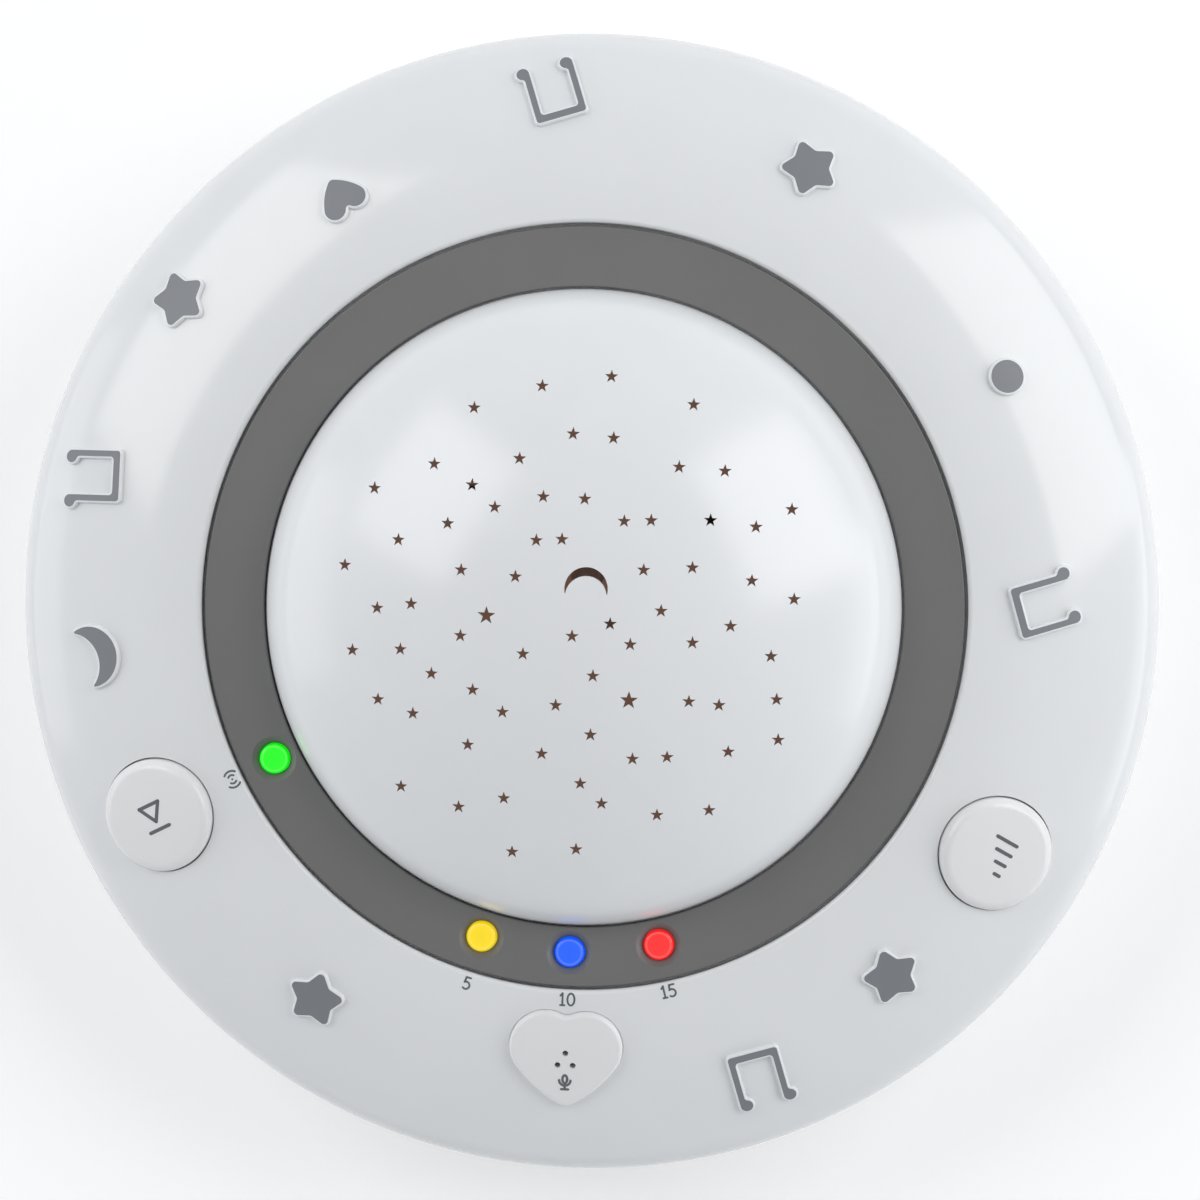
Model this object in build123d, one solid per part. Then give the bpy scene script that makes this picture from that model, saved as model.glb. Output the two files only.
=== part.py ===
from build123d import *
import math
import os

# Star night light projector: a round two-part shell with a pierced dome, a trim ring with four
# indicator lamps, two push buttons and a heart-shaped microphone cover. Inside are the main board
# with its projection lamps, a speaker, a three-cell battery bay with a hinged door and a slide
# switch. Millimetres, +Z up, origin on the axis at the feet's undersides. The heart is at -Y.

# ---------------------------------------------------------------- shell
opening_radius = 63.2         # round opening of the upper shell
band_width = 31.5             # sloping band from the opening to the widest line
shell_top = 39.03             # highest circle of the upper shell, just inside the opening
foot_height = 1.5             # how far the feet hold the base off the table
shell_wall = 2.2
seam_bevel = 0.4              # small chamfers that leave a groove at the seam
rim_lift = 1.0                # upright band between the seam and the widest line
rim_radius = 6.0              # rounding of the upper shell's rim
crown_radius = 62.0           # section radius of the upper shell's sloping top
crown_inset = 3.4             # that section's centre, inside the opening's radius
side_radius = 26.0            # section radius of the base shell's side
base_edge_radius = 4.0        # rounding between that side and the flat underside
tongue_height = 1.5           # locating tongue of the base inside the upper shell
tongue_wall = 1.2
fit_gap = 0.15                # clearance of parts that locate in each other
face_gap = 0.3                # clearance between parts that move past each other
root_share = 0.75             # where posts start inside the shell, as a share of its wall
closing_angle = 47.0          # where turned faces close, clear of bosses, holes and motifs
cut_over = 1.0                # how far a cutter runs past the face it cuts
cut_reach = 8.0               # length of cutters and blanks each side of the shell's surface

# ---------------------------------------------------------------- trim ring and dome
opening_edge_radius = 0.8     # rolled edge of that opening
ring_gap = 0.5                # shadow gap round the trim ring
ring_width = 10.0             # face of the ring, across
ring_sink = 0.5               # ring's outer edge below the opening's edge
ring_rise = 0.6               # ring's inner edge above its outer edge
ring_thickness = 1.7
ring_foot_wall = 1.7          # upright outer wall that seats the ring on its ledge
ring_edge_bevel = 0.3
ledge_thickness = 2.0
dome_gap = 0.3                # between the dome's skirt and the ring
dome_crown_radius = 84.0      # shallow top of the dome
dome_shoulder_radius = 12.0
dome_skirt = 1.4              # ring's inner edge above the dome's shoulder centre
dome_wall = 1.8
dome_flange_thickness = 1.4
dome_flange_width = 1.6       # how far the flange stands out from the skirt

# Star-shaped holes of the dome: distance from the axis, then the angles from +X in degrees.
star_rings = {
    3.4: (269,),
    6.1: (349,),
    10.3: (220, 290, 335),
    11.2: (149,),
    12.3: (101,),
    13.4: (35, 119),
    14.1: (5,),
    14.9: (261,),
    17.1: (64,),
    18.7: (87, 193),
    19.6: (53, 107, 161, 236, 280, 349),
    20.5: (24, 219),
    21.5: (129,),
    23.2: (259, 325),
    25.2: (147, 205, 294, 358),
    26.6: (37, 112, 131, 179),
    27.5: (233, 274, 305, 330),
    29.0: (13, 57, 80, 93, 194),
    31.1: (160, 214, 280),
    32.3: (28, 181, 251, 350),
    33.3: (46, 136, 320),
    35.3: (6, 206, 294, 339),
    37.1: (101, 119, 192, 241),
    38.6: (28, 63, 84, 151, 171, 272, 306, 330),
    40.6: (227, 257),
}
large_star_rings = {14.1: (183,), 16.4: (305,)}
star_tip = 1.15               # centre to tip of a star hole
large_star_tip = 1.55
star_waist = 0.40             # inner corners of a star hole, as a share of its tip radius
moon_radius = 3.5             # outer arc of the moon-shaped hole
moon_bite_radius = 3.35       # inner arc
moon_bite_drop = 1.3          # inner arc's centre below the outer arc's
moon_place = (1.9, 4.3)

# ---------------------------------------------------------------- indicator lamps
front_angle = -90.0           # direction of the heart and the middle timer lamp
lamp_inset = 4.35             # lamp centres outside the ring's inner edge
timer_spread = 14.9           # angle between neighbouring timer lamps
control_spread = 61.5         # angle of the voice lamp and the buttons from the front
lamp_radius = 2.5
lamp_length = 8.6
lamp_collar_radius = 2.9
lamp_collar_height = 1.0
lamp_top_bevel = 0.5
lamp_sink = 0.35              # lamp's top below the ring's face
lamp_fit = 0.1
countersink_radius = 3.65
countersink_depth = 1.0
lamp_leg = 0.5                # square leg
lamp_leg_spacing = 2.54
leg_hole_radius = 0.45
leg_tail = 1.5                # leg below the board

# ---------------------------------------------------------------- buttons
button_inset = 15.8           # button centres outside the opening
button_radius = 9.5
button_gap = 0.25
button_proud = 1.2            # edge of the cap above the shell
button_crown = 0.5            # rise of the cap's middle above its edge
button_edge_radius = 0.9
button_wall = 1.5
button_travel = 0.8
collar_wall = 1.6
collar_depth = 4.2            # lower end of the guide collar below the surface
flange_lip = 1.2              # retaining flange beyond the collar's bore
flange_thickness = 1.2
stem_radius = 2.5
stem_reach = 1.8              # stem's end below the flange
switch_clear = 0.4            # left between stem and switch at full travel
switch_side = 6.0
switch_height = 3.5
plunger_radius = 1.75
plunger_fit = 0.08
plunger_engage = 1.2          # plunger inside the switch at rest
plunger_floor_gap = 0.5       # left below the plunger at full travel
switch_board_width = 12.0
board_thickness = 1.6
post_radius = 2.2
post_gap = 0.5                # between the collar and the board's posts
screw_fit = 0.05

# ---------------------------------------------------------------- microphone
heart_inset = 11.4            # heart's centre outside the opening
heart_half_width = 9.3
heart_top = 7.9               # lobes' ends from the centre, towards the axis
heart_tip = 8.5               # tip from the centre, away from the axis
heart_lobe_radius = 6.0
heart_side_radius = 24.0
heart_tip_radius = 2.2
heart_proud = 1.2
heart_sink = 1.0
glue_gap = 0.05
sound_hole_radius = 0.5
sound_holes = ((0.0, 1.1), (-1.25, -1.0), (1.25, -1.0))
mic_radius = 4.85
mic_length = 6.7
boot_wall = 1.0
boot_length = 7.5
mic_tube_wall = 1.5
mic_tube_depth = 10.0
boot_depth = 3.0              # boot's front below the shell's surface

# ---------------------------------------------------------------- raised motifs
motif_height = 0.8
motif_border = 0.5            # white edge left round the printed top
motif_corner = 0.6            # rounding of the pads' corners
star_motif_tip = 4.7
star_motif_waist = 0.62
# Places as distance outside the opening, angle from +X and turn.
star_motifs = ((17.7, 65.1, 44.0), (20.8, 145.3, 38.0), (15.7, -122.1, 53.0), (15.8, -47.8, 17.0))
note_motifs = ((21.7, 95.7, -16.0), (21.1, 167.6, -17.0), (12.5, 2.7, -22.5), (19.9, -67.4, -1.5))
note_half_width = 3.65        # stems' centre lines from the middle
note_top = 4.3                # heads' centres, away from the axis
note_foot = 4.3               # beam's centre line, towards the axis
note_stem = 0.8
note_beam = 1.2
note_head_radius = 1.05
note_head_offset = 0.7
dot_motif = (15.8, 31.0)
dot_motif_radius = 2.6
heart_motif = (14.2, 123.0, 5.0)
heart_motif_scale = 0.40      # of the microphone heart's outline
moon_motif = (18.4, -172.2, 17.0)
moon_motif_radius = 4.9
moon_motif_bite = 5.4
moon_motif_offset = 3.7
moon_motif_tip_radius = 0.3

# ---------------------------------------------------------------- main board
main_board_margin = 1.7       # board's edge inside the ring's outer edge
main_board_drop = 5.3         # board's top below the ledge
board_boss_inset = 5.0        # boss centres inside the board's edge
board_boss_radius = 3.2
board_boss_angles = (45.0, 135.0, 225.0, 315.0)
board_screw_hole = 1.2
projection_circle = 5.5       # projection lamps from the axis
projection_length = 8.6
projection_lift = 1.5         # collar above the board
projection_top_radius = 2.4
chip_place = (18.0, 14.0)
chip_size = (10.3, 7.5, 2.3)
capacitor_radius = 3.15
capacitor_height = 7.0
capacitor_places = ((-20.0, 16.0), (-20.0, 26.0))
socket_size = (5.0, 6.0, 4.5)
button_socket_inset = 12.0    # sockets' middles inside the board's edge
mic_socket_inset = 17.0
speaker_socket_inset = 29.0   # speaker's socket in front of the speaker's centre

# ---------------------------------------------------------------- screws
small_head_radius = 2.0
small_head_height = 1.3
small_shank_radius = 0.9
ring_screw_inset = 4.8        # screw centres inside the ring's outer edge
ring_screw_angles = (60.0, 180.0, 300.0)
ring_screw_length = 4.0
board_screw_length = 5.6
housing_screw_inset = 10.8    # screw centres outside the opening
housing_screw_count = 6
housing_screw_angle = 0.0
housing_head_radius = 2.8
housing_head_height = 2.0
housing_shank_radius = 1.3
housing_screw_length = 14.0
well_radius = 3.4             # counterbore of a housing screw
well_depth = 6.5
pillar_wall = 1.3
pillar_top = 13.5             # base pillars' tops above the underside
housing_boss_radius = 3.6
boss_cover = 0.4              # shell left over the outer edge of a housing boss
pilot_over = 0.5              # pilot hole beyond the screw's tip

# ---------------------------------------------------------------- feet
foot_inset = 24.7             # foot centres inside the widest line
foot_angles = (45.0, 135.0, 225.0, 315.0)
foot_radius = 7.0
foot_recess = 1.0

# ---------------------------------------------------------------- speaker
speaker_inset = 52.7          # speaker's centre inside the widest line, at the back
speaker_radius = 25.0
gasket_thickness = 1.0
speaker_flange_width = 2.5
speaker_flange_thickness = 1.2
basket_height = 7.0
basket_top_radius = 13.0
basket_wall = 0.8
basket_slant_wall = 1.2       # basket's wall across its slope, measured flat
basket_window = 9.0
basket_window_height = 3.2
basket_window_angles = (0.0, 90.0, 180.0, 270.0)
magnet_radius = 15.0
magnet_height = 7.0
magnet_bevel = 1.0
cone_depth = 5.0
cone_wall = 0.6
dust_cap_radius = 6.0
voice_coil_radius = 6.0
speaker_collar_wall = 1.4
speaker_post_radius = 2.4
speaker_post_offset = 2.4     # posts' centres outside the speaker's edge
speaker_post_angles = (50.0, 170.0, 290.0)
speaker_head_radius = 3.2
speaker_screw_length = 3.4
cone_rim_width = 2.0
cone_rim_thickness = 0.4
grille_hole_radius = 1.1
grille_pitch = 4.2
grille_rings = 4
terminal_size = (6.0, 1.2, 5.0)

# ---------------------------------------------------------------- batteries and door
bay_inset = 64.7              # middle cell inside the widest line, at the front
cell_radius = 7.25
cell_body_length = 49.5
nub_radius = 2.75
nub_length = 1.0
cell_gap = 0.8                # between neighbouring cells, and cells and walls
bay_wall = 1.8
bay_head_gap = 0.4
contact_thickness = 0.4
contact_height = 11.0
contact_width = 10.0
contact_tab_width = 4.0
contact_tab_rise = 2.0        # tab above the bay's roof
spring_length = 5.3
spring_radius = 3.6
spring_wire = 0.7
spring_turns = 3.0
rib_thickness = 0.6
rib_height = 2.0
door_thickness = 2.0
shelf_length = 9.0            # ledge that takes the door's screw
shelf_thickness = 1.8
door_boss_radius = 4.0
door_boss_height = 3.0
door_screw_inset = 4.5        # screw from the door's free edge
door_head_radius = 3.0
door_head_height = 1.0
door_shank_radius = 1.3
door_shank_reach = 3.5        # shank above the door
door_screw_clear = 0.5
tongue_width = 8.0
tongue_places = (-18.0, 18.0)
tongue_length = 3.0
tongue_thickness = 1.5
tongue_clear = 0.3
door_groove_count = 3
door_groove_depth = 0.5
door_groove_width = 0.8
door_groove_pitch = 2.0
door_groove_length = 16.0

# ---------------------------------------------------------------- slide switch
slide_inset = 36.7            # slide switch inside the widest line, at the right
slide_rest_y = 6.0            # slider's place along its travel at rest
slide_travel = 3.0
slide_recess = 1.0
slide_recess_margin = 2.4
slide_knob_width = 2.8
slide_knob_length = 4.0
slide_can_width = 7.6
slide_can_length = 16.0
slide_can_height = 4.5
slide_can_wall = 1.0
slide_flange_width = 4.4
slide_flange_length = 7.0
slide_flange_thickness = 1.5
slide_ear_length = 26.0
slide_ear_width = 5.8
slide_ear_thickness = 1.0
slide_post_offset = 10.6
slide_lip = 0.2               # knob's end inside the base's underside

# ---------------------------------------------------------------- leads
lead_radius = 0.6
lead_bend_share = 0.45        # of the shorter run, taken up by each bend
button_lead_offset = 1.5      # solder point on a switch board, towards the axis

# ================================================================ derived levels
body_radius = opening_radius + band_width
base_z = foot_height
floor_z = base_z + shell_wall
crown_centre = opening_radius - crown_inset
crown_centre_z = shell_top - crown_radius
crown_span = crown_radius - rim_radius
rim_reach = body_radius - rim_radius - crown_centre
rim_centre_z = crown_centre_z + math.sqrt(crown_span ** 2 - rim_reach ** 2)
seam_z = rim_centre_z - rim_lift


def crown_height(radius, proud=0.0):
    """Height of the upper shell's surface at a distance from the axis."""
    return crown_centre_z + math.sqrt((crown_radius + proud) ** 2 - (radius - crown_centre) ** 2)


ring_outer = opening_radius - ring_gap
ring_inner = ring_outer - ring_width
dome_radius = ring_inner - dome_gap
lamp_circle = ring_inner + lamp_inset
ring_screw_circle = ring_outer - ring_screw_inset
button_circle = opening_radius + button_inset
heart_circle = opening_radius + heart_inset
housing_screw_circle = opening_radius + housing_screw_inset
foot_circle = body_radius - foot_inset
main_board_radius = ring_outer - main_board_margin
board_boss_circle = main_board_radius - board_boss_inset
speaker_place = (0.0, body_radius - speaker_inset)
bay_place_y = bay_inset - body_radius
switch_place = (body_radius - slide_inset, slide_rest_y)
ring_outer_z = crown_height(opening_radius) - ring_sink
ring_inner_z = ring_outer_z + ring_rise
ring_under_z = ring_outer_z - ring_thickness + ring_rise / 2
ledge_z = ring_under_z - dome_flange_thickness
ledge_under_z = ledge_z - ledge_thickness
board_z = ledge_under_z - main_board_drop
board_under_z = board_z - board_thickness
dome_shoulder_z = ring_inner_z - dome_skirt
dome_inner = dome_radius - dome_wall
ledge_inner = dome_inner - fit_gap
speaker_z = floor_z + gasket_thickness
flange_top_z = speaker_z + speaker_flange_thickness
door_top_z = base_z + door_thickness
cell_z = door_top_z + face_gap + cell_radius
cell_pitch = 2 * cell_radius + cell_gap
bay_roof_z = cell_z + cell_radius + bay_head_gap
bay_top_z = bay_roof_z + bay_wall
bay_half_x = (cell_body_length + nub_length + spring_length + 2 * contact_thickness) / 2
bay_half_y = cell_pitch + cell_radius + cell_gap
bay_far_y = bay_place_y + bay_half_y
bay_near_y = bay_place_y - bay_half_y
door_free_y = bay_near_y - shelf_length
shelf_z = door_top_z + face_gap
slide_ear_z = floor_z + slide_can_height
slide_mid_y = switch_place[1] + slide_travel / 2


# ================================================================ helpers
def turned(*edges):
    """Solid of revolution about the vertical axis, from the edges of its half section."""
    return turned_face(make_face(Curve() + list(edges)))


def turned_face(face):
    """Solid of revolution about the vertical axis, from its half section."""
    return Rot(0.0, 0.0, closing_angle) * revolve(Plane.XZ * face, Axis.Z)


def turned_polygon(*points):
    """Solid of revolution about the vertical axis, from a half section with straight sides."""
    return turned_face(make_face(Polyline(*points, close=True)))


def tube(outer, inner, low, high, centre=(0.0, 0.0)):
    """Upright tube between two levels."""
    height = high - low
    middle = Pos(centre[0], centre[1], low + height / 2)
    return middle * (Cylinder(outer, height) - Cylinder(inner, height + 2 * cut_over))


def rod(radius, low, high, centre=(0.0, 0.0)):
    """Upright cylinder between two levels."""
    return Pos(centre[0], centre[1], (low + high) / 2) * Cylinder(radius, high - low)


def block(x_range, y_range, z_range):
    """Box between two corners."""
    size = [high - low for low, high in (x_range, y_range, z_range)]
    middle = [(high + low) / 2 for low, high in (x_range, y_range, z_range)]
    return Pos(*middle) * Box(*size)


def polar(radius, angle):
    """Point in the plan at a distance from the axis and an angle from +X."""
    return radius * math.cos(math.radians(angle)), radius * math.sin(math.radians(angle))


def crown_frame(radius, angle):
    """Frame on the upper shell: x clockwise round the axis, y outwards down the slope, z outwards."""
    tilt = math.asin((radius - crown_centre) / crown_radius)
    out_x, out_y = polar(1.0, angle)
    origin = (radius * out_x, radius * out_y, crown_height(radius))
    normal = (math.sin(tilt) * out_x, math.sin(tilt) * out_y, math.cos(tilt))
    return Location(Plane(origin=origin, x_dir=(out_y, -out_x, 0.0), z_dir=normal))


def crown_arcs(inset, inner_radius):
    """Rim and crown arcs moved inwards by inset, from the upright side in to inner_radius."""
    radius = crown_radius - inset
    rim = rim_radius - inset
    rim_x = body_radius - rim_radius
    share = (rim_x - crown_centre) / crown_span
    rim_angle = math.asin(share) / 2 + math.pi / 4
    inner_angle = math.asin((inner_radius - crown_centre) / radius)
    crown_angle = (math.asin(share) + inner_angle) / 2
    side = (rim_x + rim, rim_centre_z)
    rim_middle = (rim_x + rim * math.sin(rim_angle), rim_centre_z + rim * math.cos(rim_angle))
    tangent = (rim_x + rim * share, rim_centre_z + rim * math.sqrt(1.0 - share ** 2))
    middle = (crown_centre + radius * math.sin(crown_angle), crown_centre_z + radius * math.cos(crown_angle))
    inner = (inner_radius, crown_height(inner_radius, -inset))
    return side, ThreePointArc(side, rim_middle, tangent), ThreePointArc(tangent, middle, inner), inner


def crown_body(inset=0.0):
    """Everything under the upper shell's surface moved inwards by inset, down to the seam."""
    side, rim, crown, top = crown_arcs(inset, crown_centre)
    outline = Polyline(top, (0.0, top[1]), (0.0, seam_z), (side[0], seam_z), side)
    return turned(rim, crown, *outline.edges())


def upper_section():
    """Section of the upper shell: outer surface, rolled edge, well, ledge and inner surface."""
    side, rim, crown, edge = crown_arcs(0.0, opening_radius)
    well_outer = opening_radius + shell_wall
    inner_side, inner_rim, inner_crown, inner_edge = crown_arcs(shell_wall, well_outer)
    well = Polyline(edge, (opening_radius, ledge_z), (ledge_inner, ledge_z), (ledge_inner, ledge_under_z),
                    (well_outer, ledge_under_z), inner_edge)
    seam = Polyline(inner_side, (inner_side[0], seam_z), (side[0] - seam_bevel, seam_z),
                    (side[0], seam_z + seam_bevel), side)
    face = make_face(Curve() + [rim, crown, *well.edges(), inner_crown, inner_rim, *seam.edges()])
    corner = min(face.vertices(), key=lambda v: math.dist((v.X, v.Y), edge))
    return fillet(corner, opening_edge_radius)


def base_body(inset=0.0):
    """Everything inside the base shell's surface moved inwards by inset, up to the seam."""
    side = side_radius - inset
    edge = base_edge_radius - inset
    side_x = body_radius - side_radius
    edge_z = base_z + base_edge_radius
    drop = seam_z - edge_z
    edge_x = side_x + math.sqrt((side_radius - base_edge_radius) ** 2 - drop ** 2)
    slope = math.atan2(drop, edge_x - side_x)
    turn = (slope + math.pi / 2) / 2
    top = (side_x + side, seam_z)
    side_middle = (side_x + side * math.cos(slope / 2), seam_z - side * math.sin(slope / 2))
    tangent = (side_x + side * math.cos(slope), seam_z - side * math.sin(slope))
    edge_middle = (edge_x + edge * math.cos(turn), edge_z - edge * math.sin(turn))
    low = (edge_x, base_z + inset)
    flat = Polyline(low, (0.0, base_z + inset), (0.0, seam_z), top)
    arcs = (ThreePointArc(low, edge_middle, tangent), ThreePointArc(tangent, side_middle, top))
    return turned(*arcs, *flat.edges())


def star_outline(tip, waist, turn=0.0):
    """Five-pointed star with one tip towards +Y before it is turned."""
    points = []
    for corner in range(10):
        reach = tip if corner % 2 == 0 else tip * waist
        points.append(polar(reach, 90.0 + turn + 36.0 * corner))
    return make_face(Polyline(*points, close=True))


def heart_outline(scale=1.0, grow=0.0):
    """Heart of tangent arcs, tip towards +Y and cleft towards -Y, widened all round by grow."""
    lobe = heart_lobe_radius * scale
    tip = heart_tip_radius * scale
    side = heart_side_radius * scale
    lobe_x = heart_half_width * scale - lobe
    lobe_y = lobe - heart_top * scale
    tip_y = heart_tip * scale - tip
    gap = math.hypot(lobe_x, tip_y - lobe_y)
    reach = (gap ** 2 + (side - lobe) ** 2 - (side - tip) ** 2) / (2 * gap)
    rise = math.sqrt((side - lobe) ** 2 - reach ** 2)
    unit_x, unit_y = -lobe_x / gap, (tip_y - lobe_y) / gap
    side_x = lobe_x + reach * unit_x - rise * unit_y
    side_y = lobe_y + reach * unit_y + rise * unit_x
    to_lobe = math.degrees(math.atan2(lobe_y - side_y, lobe_x - side_x))
    to_tip = math.degrees(math.atan2(tip_y - side_y, -side_x))
    cleft = math.degrees(math.atan2(-math.sqrt((lobe + grow) ** 2 - lobe_x ** 2), -lobe_x))
    arcs = [
        CenterArc((lobe_x, lobe_y), lobe + grow, cleft, to_lobe - cleft),
        CenterArc((side_x, side_y), side + grow, to_lobe, to_tip - to_lobe),
        CenterArc((0.0, tip_y), tip + grow, to_tip, 90.0 - to_tip),
    ]
    arcs += [mirror(arc, about=Plane.YZ) for arc in arcs]
    return make_face(Curve() + arcs)


def moon_outline(radius, bite_radius, offset_y, grow=0.0):
    """Crescent with its horns towards +Y: a disc less a second disc, widened all round by grow."""
    return Circle(radius + grow) - Pos(0.0, offset_y) * Circle(bite_radius - grow)


def screw(head_radius, head_height, shank_radius, length):
    """Pan-head screw along +Z with its head's underside at the origin."""
    head = Pos(0.0, 0.0, -head_height / 2) * Cylinder(head_radius, head_height)
    head = fillet(head.edges().group_by(Axis.Z)[0], head_height * 0.4)
    slot = Pos(0.0, 0.0, -head_height) * Box(head_radius * 1.1, head_radius * 0.3, head_height * 0.8)
    cross = Pos(0.0, 0.0, -head_height) * Box(head_radius * 0.3, head_radius * 1.1, head_height * 0.8)
    shank = Pos(0.0, 0.0, length / 2) * Cylinder(shank_radius, length)
    shank = chamfer(shank.edges().group_by(Axis.Z)[-1], shank_radius * 0.5)
    return head - slot - cross + shank


def write(name, *solids):
    """Save one node as its own file; several solids stay apart in it."""
    shape = solids[0] if len(solids) == 1 else Compound(children=list(solids))
    shape.label = name
    export_step(shape, f"parts/{name}.step")


# ================================================================ controls on the upper shell
timer_angles = (front_angle - timer_spread, front_angle, front_angle + timer_spread)
voice_angle = front_angle - control_spread
lamp_angles = timer_angles + (voice_angle,)
button_angles = {"mod": front_angle - control_spread, "vol": front_angle + control_spread}
hole_radius = button_radius + button_gap
flange_radius = hole_radius + flange_lip
flange_depth = collar_depth + face_gap
stem_depth = flange_depth + flange_thickness + stem_reach
switch_depth = stem_depth + button_travel + switch_clear
switch_board_depth = switch_depth + switch_height
post_offset = hole_radius + collar_wall + post_gap + post_radius
heart_frame = crown_frame(heart_circle, front_angle)
boss_root_z = crown_height(housing_screw_circle + housing_boss_radius) - boss_cover


def lamp_face_z(radius):
    """Height of the trim ring's face at a distance from the axis."""
    share = (ring_outer - radius) / (ring_outer - ring_inner)
    return ring_outer_z + ring_rise * share


def motif_outlines():
    """Distance outside the opening, angle and outline of each raised pad."""
    pads = []
    for inset, angle, turn in star_motifs:
        outline = star_outline(star_motif_tip + motif_border, star_motif_waist, turn)
        pads.append((inset, angle, fillet(outline.vertices(), motif_corner)))
    for inset, angle, turn in note_motifs:
        pads.append((inset, angle, Rot(0.0, 0.0, turn) * note_outline()))
    pads.append((*dot_motif, make_face(CenterArc((0.0, 0.0), dot_motif_radius + motif_border, 0.0, 360.0))))
    inset, angle, turn = heart_motif
    pads.append((inset, angle, Rot(0.0, 0.0, turn) * heart_outline(heart_motif_scale, motif_border)))
    inset, angle, turn = moon_motif
    moon = moon_outline(moon_motif_radius, moon_motif_bite, moon_motif_offset, motif_border)
    moon = fillet(moon.vertices(), moon_motif_tip_radius)
    pads.append((inset, angle, Rot(0.0, 0.0, turn) * moon))
    return pads


def note_outline():
    """Two-note outline: beam towards the axis, heads at the stems' outer ends."""
    stem = note_stem + 2 * motif_border
    beam = note_beam + 2 * motif_border
    height = note_top + note_foot
    outline = Pos(0.0, -note_foot) * Rectangle(2 * note_half_width + stem, beam)
    for side in (-1.0, 1.0):
        x = side * note_half_width
        outline += Pos(x, (note_top - note_foot) / 2) * Rectangle(stem, height)
        outline += Pos(x - note_head_offset, note_top) * Circle(note_head_radius + motif_border)
    return outline


def hanging_post(radius, depth):
    """Cylinder from inside the shell's wall down to a depth, in a frame on the shell's surface."""
    start = root_share * shell_wall
    return Pos(0.0, 0.0, -(start + depth) / 2) * Cylinder(radius, depth - start)


def build_upper_housing():
    """Upper shell with the ring's well and ledge, button collars, bosses and raised motifs."""
    shell = turned_face(upper_section())
    for angle in board_boss_angles:
        shell += rod(board_boss_radius, board_z, ledge_under_z, polar(board_boss_circle, angle))
    for index in range(housing_screw_count):
        place = polar(housing_screw_circle, housing_screw_angle + 360.0 * index / housing_screw_count)
        shell += rod(housing_boss_radius, base_z + pillar_top, boss_root_z, place)
    for angle in button_angles.values():
        frame = crown_frame(button_circle, angle)
        shell += frame * hanging_post(hole_radius + collar_wall, collar_depth)
        for side in (-1.0, 1.0):
            shell += frame * Pos(side * post_offset, 0.0, 0.0) * hanging_post(post_radius, switch_board_depth)
        shell -= frame * Cylinder(hole_radius, 2 * cut_reach)
    boot_bore = mic_radius + boot_wall + fit_gap
    shell += heart_frame * hanging_post(boot_bore + mic_tube_wall, mic_tube_depth)
    bore = Pos(0.0, 0.0, -boot_depth - mic_tube_depth / 2) * Cylinder(boot_bore, mic_tube_depth)
    shell -= heart_frame * bore
    skin = crown_body(-motif_height)
    for inset, angle, outline in motif_outlines():
        pad = Pos(0.0, 0.0, -shell_wall / 2) * extrude(outline, shell_wall + motif_height)
        shell += (crown_frame(opening_radius + inset, angle) * pad) & skin
    pocket = Pos(0.0, 0.0, -cut_reach) * extrude(heart_outline(grow=fit_gap), 2 * cut_reach)
    shell -= (heart_frame * pocket) - crown_body(heart_sink)
    shell -= sound_hole_cutters()
    return shell - pilot_holes()


def sound_hole_cutters():
    """Three small cylinders through the heart and the shell below it."""
    cutters = []
    for x, y in sound_holes:
        cutters.append(heart_frame * Pos(x, -y, 0.0) * Cylinder(sound_hole_radius, 2 * cut_reach))
    return cutters


def pilot_holes():
    """Screw holes in the upper shell's bosses and posts."""
    holes = []
    for angle in board_boss_angles:
        depth = board_screw_length - board_thickness + pilot_over
        place = polar(board_boss_circle, angle)
        holes.append(rod(small_shank_radius + screw_fit, board_z - cut_over, board_z + depth, place))
    for index in range(housing_screw_count):
        place = polar(housing_screw_circle, housing_screw_angle + 360.0 * index / housing_screw_count)
        tip = base_z + well_depth + housing_screw_length + pilot_over
        holes.append(rod(housing_shank_radius + screw_fit, base_z, tip, place))
    for angle in ring_screw_angles:
        place = polar(ring_screw_circle, angle)
        holes.append(rod(small_shank_radius + screw_fit, ledge_under_z - cut_over, ledge_z + cut_over, place))
    for angle in lamp_angles:
        place = polar(lamp_circle, angle)
        holes.append(rod(lamp_collar_radius + face_gap, ledge_under_z - cut_over, ledge_z + cut_over, place))
    for angle in button_angles.values():
        depth = board_screw_length - board_thickness + pilot_over
        for side in (-1.0, 1.0):
            place = Pos(side * post_offset, 0.0, -switch_board_depth)
            hole = Cylinder(small_shank_radius + screw_fit, 2 * depth)
            holes.append(crown_frame(button_circle, angle) * place * hole)
    return holes


def build_button():
    """Button cap about its own axis: domed top, skirt, retaining flange and stem."""
    low = -flange_depth - flange_thickness
    middle_x = (button_radius - button_wall + stem_radius) / 2
    roof = button_proud - button_wall
    top = ThreePointArc((0.0, button_proud + button_crown),
                        (button_radius / 2, button_proud + button_crown * 0.75),
                        (button_radius, button_proud))
    outline = Polyline((button_radius, button_proud), (button_radius, -flange_depth),
                       (flange_radius, -flange_depth), (flange_radius, low),
                       (button_radius - button_wall, low), (button_radius - button_wall, roof),
                       (middle_x, roof), (stem_radius, roof),
                       (stem_radius, -stem_depth), (0.0, -stem_depth),
                       (0.0, button_proud + button_crown))
    cap = turned(top, *outline.edges())
    rim = [e for e in cap.edges().filter_by(GeomType.CIRCLE)
           if abs(e.radius - button_radius) < 0.01 and abs(e.center().Z - button_proud) < 0.01]
    return fillet(rim, button_edge_radius)


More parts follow.
